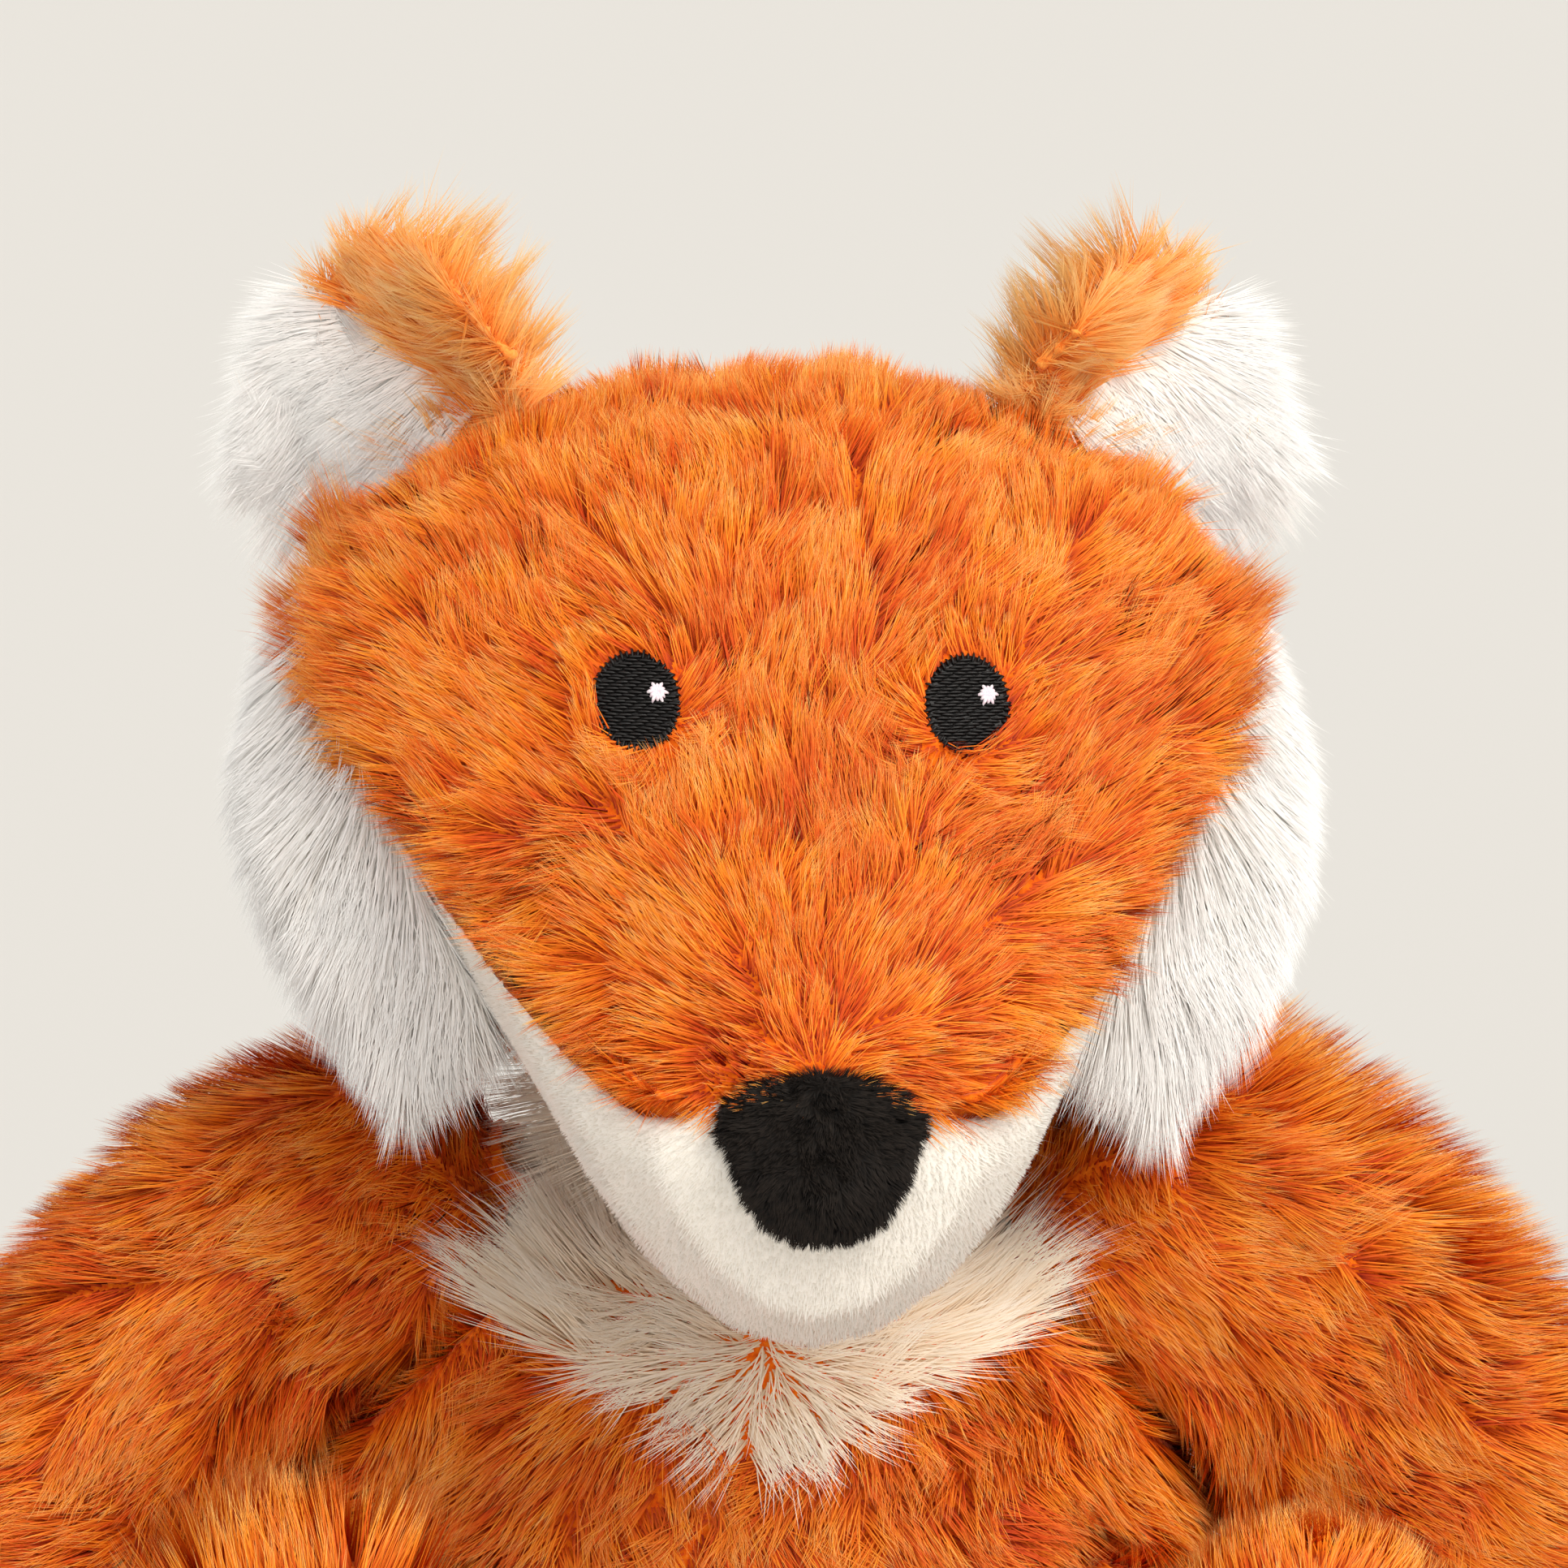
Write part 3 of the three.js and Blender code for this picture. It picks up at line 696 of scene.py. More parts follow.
class Tree:
    """Writes a Geometry Nodes tree, one call for each node."""

    def __init__(self, name: str) -> None:
        """Starts an empty tree with a geometry in and out.

        Args:
            name: The node group's name.
        """
        self.group = bpy.data.node_groups.new(name, "GeometryNodeTree")
        face = self.group.interface
        face.new_socket("Geometry", in_out="INPUT", socket_type="NodeSocketGeometry")
        face.new_socket("Geometry", in_out="OUTPUT", socket_type="NodeSocketGeometry")
        self.start = self.node("NodeGroupInput")
        self.end = self.node("NodeGroupOutput")
        self.identifiers: dict[str, str] = {}

    def node(self, kind: str, values: dict | None = None, **settings: object) -> bpy.types.Node:
        """Adds a node.

        Args:
            kind: The node's type.
            values: Sockets or plain values for its inputs, by name or number.
            settings: The node's properties.

        Returns:
            The node.
        """
        made = self.group.nodes.new(kind)
        for key, value in settings.items():
            setattr(made, key, value)
        for key, value in (values or {}).items():
            self.put(made.inputs[key], value)
        return made

    def put(self, socket: bpy.types.NodeSocket, value: object) -> None:
        """Links a socket to another, or sets its plain value."""
        value = value.socket if isinstance(value, Value) else value
        if isinstance(value, bpy.types.NodeSocket):
            self.group.links.new(value, socket)
        else:
            socket.default_value = value

    def input(self, name: str, kind: str = "Float", value: object = None) -> "Value":
        """Adds a named input to the tree.

        Args:
            name: The input's name.
            kind: What it holds, as in its socket type.
            value: Its default.

        Returns:
            What it carries.
        """
        made = self.group.interface.new_socket(name, in_out="INPUT", socket_type=f"NodeSocket{kind}")
        if value is not None:
            made.default_value = value
        self.identifiers[name] = made.identifier
        return Value(self, self.start.outputs[name], kind == "Vector")

    def math(self, is_vector: bool, operation: str, *values: object) -> "Value":
        """Adds one step of arithmetic.

        Args:
            is_vector: Whether it works on vectors.
            operation: What it does.
            values: What it works on.

        Returns:
            The result.
        """
        kind = "ShaderNodeVectorMath" if is_vector else "ShaderNodeMath"
        inputs = zip((0, "Scale"), values) if operation == "SCALE" else enumerate(values)
        made = self.node(kind, dict(inputs), operation=operation)
        gives_vector = is_vector and operation != "DOT_PRODUCT"
        return Value(self, made.outputs["Vector" if gives_vector else "Value"], gives_vector)

    def value(
        self, kind: str, values: dict | None = None, is_vector: bool = False, **settings: object
    ) -> "Value":
        """Adds a node and gives its first output."""
        return Value(self, self.node(kind, values, **settings).outputs[0], is_vector)

    def here(self) -> "Value":
        """Reads the place of each point."""
        return self.value("GeometryNodeInputPosition", is_vector=True)

    def parts(self, vector: "Value") -> tuple["Value", ...]:
        """Takes a vector apart."""
        return tuple(Value(self, s) for s in self.node("ShaderNodeSeparateXYZ", {0: vector}).outputs)

    def joined(self, x: object, y: object, z: object) -> "Value":
        """Puts a vector together."""
        return self.value("ShaderNodeCombineXYZ", {0: x, 1: y, 2: z}, True)

    def turned(self, vector: object, axis: object, angle: object) -> "Value":
        """Turns a vector about an axis."""
        values = {"Vector": vector, "Axis": axis, "Angle": angle}
        return self.value("ShaderNodeVectorRotate", values, True, rotation_type="AXIS_ANGLE")

    def read(self, name: str, kind: Kind = Kind.NUMBER) -> "Value":
        """Reads a named attribute."""
        settings = {"is_vector": kind is Kind.VECTOR, "data_type": kind.value}
        return self.value("GeometryNodeInputNamedAttribute", {"Name": name}, **settings)

    def store(
        self, geometry: object, name: str, value: object, kind: Kind = Kind.VECTOR, domain: str = "POINT"
    ) -> bpy.types.NodeSocket:
        """Stores a named attribute and gives the geometry with it.

        Args:
            geometry: What carries it.
            name: The attribute's name.
            value: Its value.
            kind: What it holds.
            domain: What it lies on.

        Returns:
            The geometry with the attribute.
        """
        values = {"Geometry": geometry, "Name": name, "Value": value}
        settings = {"data_type": kind.value, "domain": domain}
        return self.node("GeometryNodeStoreNamedAttribute", values, **settings).outputs["Geometry"]

    def place(self, geometry: object, place: object) -> bpy.types.NodeSocket:
        """Moves points to places and gives the moved geometry."""
        return self.node("GeometryNodeSetPosition", {"Geometry": geometry, "Position": place}).outputs[0]

    def chance(self, seed: object) -> "Value":
        """Draws a vector of three numbers from -1 to 1 for each point."""
        values = {0: (-1.0, -1.0, -1.0), 1: (1.0, 1.0, 1.0), "Seed": seed}
        return self.value("FunctionNodeRandomValue", values, True, data_type="FLOAT_VECTOR")

    def scatter(self, geometry: object, density: object, seed: object) -> bpy.types.Node:
        """Scatters points over faces."""
        values = {"Mesh": geometry, "Density": density, "Seed": seed}
        return self.node("GeometryNodeDistributePointsOnFaces", values)

    def finish(self, placed: object, material: object, offset: object = None) -> None:
        """Realizes instances, gives them their material and sends them out.

        Args:
            placed: The instances.
            material: Their material.
            offset: How far they are moved.
        """
        shown = self.node("GeometryNodeRealizeInstances", {"Geometry": placed})
        if offset is not None:
            shown = self.node("GeometryNodeSetPosition", {"Geometry": shown.outputs[0], "Offset": offset})
        values = {"Geometry": shown.outputs[0], "Material": material}
        painted = self.node("GeometryNodeSetMaterial", values)
        self.put(self.end.inputs[0], painted.outputs[0])

    def apply(self, piece: bpy.types.Object, values: dict[str, object]) -> bpy.types.Mesh:
        """Runs the tree on an object and takes the plain mesh.

        Args:
            piece: The object, which is removed.
            values: The tree's inputs by name.

        Returns:
            The mesh.
        """
        modifier = piece.modifiers.new(self.group.name, "NODES")
        modifier.node_group = self.group
        for name, value in values.items():
            modifier[self.identifiers[name]] = value
        return evaluated(piece)


@dataclass(frozen=True)
class Pile:
    """How a pile grows: its fibres' sizes, their lean and how they gather in locks and tufts."""

    fibres: int
    length: float
    width: float = 0.25 * MM
    lean_root: float = 30.0
    lean_tip: float = 78.0
    lean_spread: float = 18.0
    turn_spread: float = 26.0
    roll_spread: float = 40.0
    stray: float = 40.0
    lock_size: float = 1.3 * MM
    tuft_size: float = 7.5 * MM
    lock_share: float = 0.55
    tuft_share: float = 0.2
    droop: float = 0.06
    length_spread: float = 0.16
    solid: bool = False
    facing: tuple[float, float, float] = (0.0, 0.0, 0.0)


LONG = {"solid": True, "facing": (0.0, -1.2, 0.7), "droop": 0.1}
HEAD_PILE = Pile(78000, 10.2 * MM, width=0.295 * MM, lean_spread=22)
TORSO_PILE = Pile(53000, 10.6 * MM, width=0.335 * MM)
ARM_PILE = Pile(58000, 10.6 * MM, width=0.325 * MM, lean_spread=20)
LEG_PILE = Pile(46000, 10.4 * MM, width=0.34 * MM)
TAIL_PILE = Pile(32000, 10.8 * MM, width=0.32 * MM)
TAIL_TIP_PILE = Pile(18000, 11 * MM, width=0.34 * MM, solid=True)
NECK_BACK_PILE = Pile(7000, 10 * MM)
NECK_FRONT_PILE = Pile(
    5500, 19 * MM, width=0.44 * MM, lean_root=8, lean_tip=34, solid=True, facing=(0.0, -2.4, 1.2)
)
BIB_PILE = Pile(
    12500, 12.5 * MM, width=0.375 * MM, lean_root=24, lean_tip=70, tuft_size=6 * MM, solid=True,
    facing=(0.0, -1.6, 1.0),
)
JAW_PILE = Pile(
    50000, 1.5 * MM, width=0.24 * MM, lean_root=34, lean_tip=68, lock_size=0.8 * MM,
    tuft_size=4 * MM, lock_share=0.25, tuft_share=0.0, droop=0.0, roll_spread=4, turn_spread=14,
)
NOSE_PILE = Pile(
    21000, 1.9 * MM, width=0.17 * MM, lean_root=20, lean_tip=60, lock_size=0.7 * MM,
    tuft_size=2.5 * MM, lock_share=0.45, tuft_share=0.15, droop=0.0, roll_spread=12,
)
RUFF_PILE = Pile(
    16000, 14 * MM, width=0.375 * MM, lean_root=38, lean_tip=84, lean_spread=5, turn_spread=9,
    tuft_size=7 * MM, lock_share=0.2, tuft_share=0.05, length_spread=0.1, **LONG,
)
EAR_BACK_PILE = Pile(
    11000, 11 * MM, width=0.31 * MM, lean_root=26, lean_tip=72, tuft_size=5 * MM, solid=True,
    facing=(0.0, -0.9, 0.5),
)
EAR_LINING_PILE = Pile(
    12000, 12.5 * MM, width=0.37 * MM, lean_root=30, lean_tip=80, lean_spread=6, turn_spread=12,
    tuft_size=6 * MM, lock_share=0.25, tuft_share=0.06, **LONG,
)


class PileTree:
    """The node tree that grows a pile on a skin."""

    FIELDS = ("comb", "reach", "cover", "mess", "tone", "lift")
    SIZES = (
        "Density", "Length", "Width", "Lean Root", "Lean Tip", "Lean Spread", "Turn Spread",
        "Roll Spread", "Stray", "Lock Size", "Tuft Size", "Lock Share", "Tuft Share", "Droop",
        "Length Spread",
    )
    LEVELS = ("tuft", "lock", "own")
    LEVEL_SHARES = (1.0, 0.5, 0.3)

    def __init__(self) -> None:
        """Builds the tree."""
        self.tree = tree = Tree("pile")
        self.sizes = {name: tree.input(name) for name in self.SIZES}
        self.seed = tree.input("Seed", "Int", 1)
        self.solid = tree.input("Solid", "Float", 0.0)
        material = tree.input("Material", "Material")
        fibres = self.rooted(tree.start.outputs["Geometry"])
        values = {"Points": fibres, "Instance": self.strand()}
        placed = tree.node("GeometryNodeInstanceOnPoints", values)
        realized = tree.node("GeometryNodeRealizeInstances", {"Geometry": placed.outputs[0]})
        tree.finish(self.shaped(realized.outputs[0]), material)

    def centres(self, skin: object, spacing: Value, step: int) -> tuple:
        """Scatters the middles of locks.

        Args:
            skin: The skin.
            spacing: Distance between them.
            step: What is added to the seed.

        Returns:
            Their points and a draw for each.
        """
        seed = self.seed + step
        scattered = self.tree.scatter(skin, 1.0 / (spacing * spacing), seed)
        points = self.tree.store(scattered.outputs["Points"], "up", scattered.outputs["Normal"])
        return points, self.tree.chance(seed)

    def rooted(self, skin: object) -> bpy.types.NodeSocket:
        """Scatters the fibres' roots and gives each its lock and its tuft.

        Args:
            skin: The skin.

        Returns:
            The points, with all that the fibres' shape needs.
        """
        tree = self.tree
        scattered = tree.scatter(skin, self.sizes["Density"], self.seed)
        bare = tree.read("cover").do("LESS_THAN", 0.0)
        points = tree.store(scattered.outputs["Points"], "own_up", scattered.outputs["Normal"])
        removed = tree.node("GeometryNodeDeleteGeometry", {"Geometry": points, "Selection": bare})
        removed.domain = "POINT"
        here = tree.here()
        points = tree.store(removed.outputs[0], "own_root", here)
        points = tree.store(points, "own_comb", tree.read("comb", Kind.VECTOR))
        points = tree.store(points, "own_chance", tree.chance(self.seed))
        points = tree.store(points, "extra", tree.chance(self.seed + 7))
        for name, size, step in (("lock", "Lock Size", 11), ("tuft", "Tuft Size", 23)):
            centres, draw = self.centres(skin, self.sizes[size], step)
            found = tree.node("GeometryNodeSampleNearest", {"Geometry": centres, "Sample Position": here})
            sources = {
                "root": tree.here(),
                "up": tree.read("up", Kind.VECTOR),
                "comb": tree.read("comb", Kind.VECTOR),
                "chance": draw,
            }
            for part, value in sources.items():
                values = {"Geometry": centres, "Value": value, "Index": found.outputs["Index"]}
                sampled = tree.value("GeometryNodeSampleIndex", values, data_type="FLOAT_VECTOR")
                points = tree.store(points, f"{name}_{part}", sampled)
        return points

    def strand(self) -> bpy.types.NodeSocket:
        """Makes the fibre that is planted at each root, flat or three-sided, ending in a point.

        Returns:
            The fibre, with its place across, along and through stored.
        """
        tree = self.tree
        values = {"Size X": 1.0, "Size Y": 1.0, "Vertices X": self.solid * 2.0 + 2.0, "Vertices Y": 2}
        grid = tree.node("GeometryNodeMeshGrid", values)
        across, along, _ = tree.parts(tree.here())
        along = along + 0.5
        turn = (across + 0.5) * (2 * math.pi)
        below_tip = along.do("LESS_THAN", 0.9)
        side = turn.do("COSINE") * self.solid + across * 2.0 * (1.0 - self.solid)
        bulge = turn.do("SINE") * 0.6 * self.solid
        placed = tree.place(grid.outputs[0], tree.joined(side * below_tip, along, bulge * below_tip))
        merged = tree.node("GeometryNodeMergeByDistance", {"Geometry": placed, "Distance": 0.01})
        return tree.store(merged.outputs[0], "strand", tree.here())

    def arc(self, level: int, draws: Sequence[tuple], reach: Value, along: Value) -> tuple[Value, Value]:
        """Bends a fibre, or the middle of its lock or tuft, from its root lean to its tip lean.

        Args:
            level: The tuft's, the lock's or the fibre's own.
            draws: The draws of each level.
            reach: The length.
            along: The place along it.

        Returns:
            The place and the direction there.
        """
        tree, sizes = self.tree, self.sizes
        name = self.LEVELS[level]
        root, up, comb = (tree.read(f"{name}_{part}", Kind.VECTOR) for part in ("root", "up", "comb"))
        sums = [0.0, 0.0, 0.0]
        for share, draw in list(zip(self.LEVEL_SHARES, draws))[: level + 1]:
            sums = [part * share + total for part, total in zip(draw, sums)]
        flat = (comb - up * comb.do("DOT_PRODUCT", up)).do("NORMALIZE")
        swing = sums[2] * sizes["Turn Spread"] * (tree.read("mess") + 1.0)
        if name == "own":
            swing = draws[2][2].do("POWER", 5.0) * sizes["Stray"] + swing
        flat = tree.turned(flat, up, swing)
        laid = 1.0 - tree.read("lift")
        first = (sums[0] * sizes["Lean Spread"] + sizes["Lean Root"]) * laid
        last = (sums[1] * sizes["Lean Spread"] + sizes["Lean Tip"]) * laid
        last = last.do("MAXIMUM", first + 0.1)
        bend = last - first
        lean = bend * along + first
        sine, cosine = lean.do("SINE"), lean.do("COSINE")
        rise = (sine - first.do("SINE")) / bend
        run = (first.do("COSINE") - cosine) / bend
        return root + (up * rise + flat * run) * reach, up * cosine + flat * sine

    def shaped(self, geometry: object) -> bpy.types.NodeSocket:
        """Bends every fibre, gathers the tips in locks and tufts, and maps the colours.

        Args:
            geometry: The planted fibres.

        Returns:
            The grown pile.
        """
        tree, sizes = self.tree, self.sizes
        side, along, bulge = tree.parts(tree.read("strand", Kind.VECTOR))
        draws = [tree.parts(tree.read(f"{name}_chance", Kind.VECTOR)) for name in self.LEVELS]
        draw, turn, roll = tree.parts(tree.read("extra", Kind.VECTOR))
        draw = draw * 0.7
        for share, parts in zip((1.0, 0.6), draws):
            draw = parts[1] * share + draw
        reach = tree.read("reach") * sizes["Length"] * (draw * sizes["Length Spread"] + 1.0)
        own, heading = self.arc(2, draws, reach, along)
        for level, share, power in ((1, "Lock Share", 1.0), (0, "Tuft Share", 2.0)):
            place, _ = self.arc(level, draws, reach, along)
            own = own + (place - own) * (along.do("POWER", power) * sizes[share])
        fall = along * along * sizes["Droop"] * reach
        own = own - tree.joined(0.0, 0.0, fall)
        across = heading.do("CROSS_PRODUCT", tree.read("own_up", Kind.VECTOR)).do("NORMALIZE")
        across = tree.turned(across, heading, roll * sizes["Roll Spread"])
        half = sizes["Width"] * 0.5 * (along * -0.4 + 1.0)
        through = heading.do("CROSS_PRODUCT", across)
        x, y, z = tree.parts(own + across * (side * half) + through * (bulge * half))
        resting = (turn + 1.5) * (0.3 * MM)
        placed = tree.place(geometry, tree.joined(x, y, z.do("MAXIMUM", resting)))
        tone = turn * 0.18 + 0.5
        for share, parts in zip((0.28, 0.4), draws):
            tone = parts[0] * share + tone
        tone = (tone + tree.read("tone")).do("MAXIMUM", 0.04).do("MINIMUM", 0.96)
        map_place = tree.joined(side * 0.02 + tone, along * 0.96 + 0.02, 0.0)
        return tree.store(placed, BAKE_MAP, map_place, Kind.PLANE, "CORNER")


class Salon:
    """Grows piles on skins and puts them in the scene."""

    def __init__(self) -> None:
        """Builds the node tree once."""
        self.grower = PileTree()
        self.planted = 0
        self.materials: dict[str, bpy.types.Material] = {}

    def fibres_of(self, finish: PileFinish) -> bpy.types.Material:
        """Gives the one material of a pile's fibres."""
        if finish.name not in self.materials:
            self.materials[finish.name] = finish.fibres()
        return self.materials[finish.name]

    def grow(self, name: str, skin: Form, pile: Pile, finish: PileFinish, body: str) -> None:
        """Grows a pile on a skin.

        Args:
            name: The piece's name.
            skin: The skin, with the fields of PileTree.
            pile: How the pile grows.
            finish: Its colours.
            body: The body it rides on.
        """
        self.planted += 1
        holder = added(f"{name}_skin", skin.mesh.copy())
        for field_name in PileTree.FIELDS:
            values = skin.fields[field_name]
            kind, part = (Kind.VECTOR, "vector") if values.ndim == 2 else (Kind.NUMBER, "value")
            layer = holder.data.attributes.new(field_name, kind.value, "POINT")
            layer.data.foreach_set(part, values.astype(np.float32).ravel())
        angles = ("lean_root", "lean_tip", "lean_spread", "turn_spread", "roll_spread", "stray")
        plain = (
            "length", "width", "lock_size", "tuft_size", "lock_share", "tuft_share", "droop",
            "length_spread",
        )
        inputs = {key: math.radians(getattr(pile, key)) for key in angles}
        inputs |= {key: getattr(pile, key) for key in plain}
        inputs = {key.replace("_", " ").title(): value for key, value in inputs.items()} | {
            "Density": pile.fibres / covered_area(holder.data, skin.fields["cover"]),
            "Solid": float(pile.solid),
            "Seed": 100 * self.planted,
            "Material": self.fibres_of(finish),
        }
        mesh = self.grower.tree.apply(holder, inputs)
        self.soften(mesh, finish.flatten, pile)
        mesh.materials.clear()
        mesh.materials.append(self.fibres_of(finish))
        piece = added(name, mesh)
        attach(piece, body)
        log.info("%s: %d triangles", name, sum(len(p.vertices) - 2 for p in mesh.polygons))

    @staticmethod
    def soften(mesh: bpy.types.Mesh, share: float, pile: Pile) -> None:
        """Turns the fibres' shading towards the skin's, and drops the helper attributes.

        A side of a three-sided fibre that looks the other way has its shading mirrored, so that it
        isn't black when it is seen from behind.

        Args:
            mesh: The pile's mesh.
            share: How far towards the skin's normal.
            pile: Its facing is added to the skin's normal, where light comes through a thin part.
        """
        skin = table(mesh.attributes["own_up"].data, "vector")
        turned = unit(skin + np.array(pile.facing))
        mixed = unit((1 - share) * table(mesh.vertices, "normal") + share * turned)
        for name in [a.name for a in mesh.attributes if not a.is_internal and not a.is_required]:
            if name not in (BAKE_MAP, "position") and name in mesh.attributes:
                mesh.attributes.remove(mesh.attributes[name])
        mesh.shade_smooth()
        if not pile.solid:
            mesh.normals_split_custom_set_from_vertices(mixed.tolist())
            return
        sides = table(mesh.polygons, "loop_total", 1, np.int32)[:, 0]
        flat = np.repeat(table(mesh.polygons, "normal"), sides, axis=0)
        shown = mixed[table(mesh.loops, "vertex_index", 1, np.int32)[:, 0]]
        away = np.minimum((shown * flat).sum(axis=1, keepdims=True), 0.0)
        mesh.normals_split_custom_set(unit(shown - 2 * away * flat).tolist())


def covered_area(mesh: bpy.types.Mesh, cover: np.ndarray) -> float:
    """Measures the faces that a pile covers.

    Args:
        mesh: The skin.
        cover: Above 0 where the pile grows.

    Returns:
        Their area in square metres.
    """
    covered = (f.area for f in mesh.polygons if np.mean([cover[v] for v in f.vertices]) > 0)
    return max(sum(covered), (5 * MM) ** 2)


def plant(
    skin: Form,
    comb: np.ndarray,
    cover: np.ndarray | float = 1.0,
    reach: np.ndarray | float = 1.0,
    mess: np.ndarray | float = 0.0,
    tone: np.ndarray | float = 0.0,
    lift: np.ndarray | float = 0.0,
) -> None:
    """Sets what the pile on a skin needs at each point.

    Args:
        skin: The skin.
        comb: The way the pile lies.
        cover: Above 0 where it grows.
        reach: Share of its full length.
        mess: How much further than usual its locks turn aside.
        tone: How much lighter it is.
        lift: How far it stands up from its usual lean, from 0 to 1.
    """
    count = len(skin.mesh.vertices)
    skin.fields["comb"] = unit(np.broadcast_to(comb, (count, 3)).astype(float))
    numbers = {"cover": cover, "reach": reach, "mess": mess, "tone": tone, "lift": lift}
    for name, value in numbers.items():
        skin.fields[name] = np.broadcast_to(np.asarray(value, float), (count,)).copy()


def swirled(comb: np.ndarray, skin: Form, size: float, amount: float) -> np.ndarray:
    """Turns the way that a pile lies to and fro, as hands leave it.

    Args:
        comb: The way it lies.
        skin: The skin.
        size: Length of the waves.
        amount: How far it turns, as a share of its length.

    Returns:
        The new way.
    """
    places, normals = skin.points / size * 2 * math.pi, skin.normals
    ways = np.array([[0.8, 0.5, 0.3], [-0.4, 0.7, 0.9], [0.6, -0.9, 0.5], [1.3, 0.4, -1.1]])
    waves = np.sin(places @ ways.T + vec(0.4, 2.1, 4, 5.2)).mean(-1, keepdims=True) * 2
    comb = unit(comb)
    return comb + amount * waves * np.cross(normals, comb)


def patches(places: np.ndarray, amount: float) -> np.ndarray:
    """Makes soft lighter and darker patches, as handled pile has.

    Args:
        places: Where.
        amount: How much lighter and darker.

    Returns:
        A tone for each place.
    """
    ways = np.array([
        [0.31, 0.12, 0.2], [-0.17, 0.3, 0.26], [0.24, -0.35, 0.14], [0.62, 0.5, -0.7], [-0.8, 0.3, 0.66],
    ])
    waves = np.sin(places / MM @ ways.T + vec(0, 1.9, 3.7, 0.6, 2.8))
    return amount * waves.mean(-1) * 1.8


def dress(
    piece: bpy.types.Object,
    body: str,
    material: bpy.types.Material,
    nodes: Sequence[str] = (),
) -> None:
    """Gives a piece its material, body and the nodes that it stands for.

    Args:
        piece: The piece.
        body: The body it rides on.
        material: Its material.
        nodes: The CAD nodes it replaces.
    """
    piece.data.materials.clear()
    piece.data.materials.append(material)
    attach(piece, body)
    if nodes:
        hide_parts(*nodes)
    log.info("%s: %d faces", piece.name, len(piece.data.polygons))


@dataclass
class Filling:
    """Loose fibre or the pellet bag inside a cover."""

    node: str
    body: str
    finish: GrainFinish = STUFFING
    voxel: float = 3.5 * MM
    slack: float = 2.5 * MM
    lumps: float = 0.7 * MM
    fill: float = SOFT

    def build(self) -> None:
        """Makes the filling as a lumpy body, drawn in from the cover's cloth."""
        form = skin_of([self.node], self.voxel, 8).shrink(self.slack, 2)
        places = form.points
        waves = np.sin(places @ np.array([[410, 130, -70], [-90, 380, 160], [120, -60, 430.0]]).T)
        form.points = places + form.normals * (waves.prod(-1, keepdims=True) * self.lumps)
        kind = "fibre" if self.finish is STUFFING else "cloth"
        piece = form.object(f"{self.node}_{kind}")
        dress(piece, self.body, self.finish.material(), [self.node])


def nose_corners(places: np.ndarray) -> np.ndarray:
    """Finds how far the nose's upper corners are drawn down into the long pile.

    Args:
        places: Where.

    Returns:
        The drop at each place, from nothing at the middle and below.
    """
    low, high = corners("nose")
    aside = np.clip(np.abs(places[:, 0]) / high[0], 0, 1)
    return NOSE_DROP * aside**2 * eased(places[:, 2], (low[2] + high[2]) / 2, high[2])


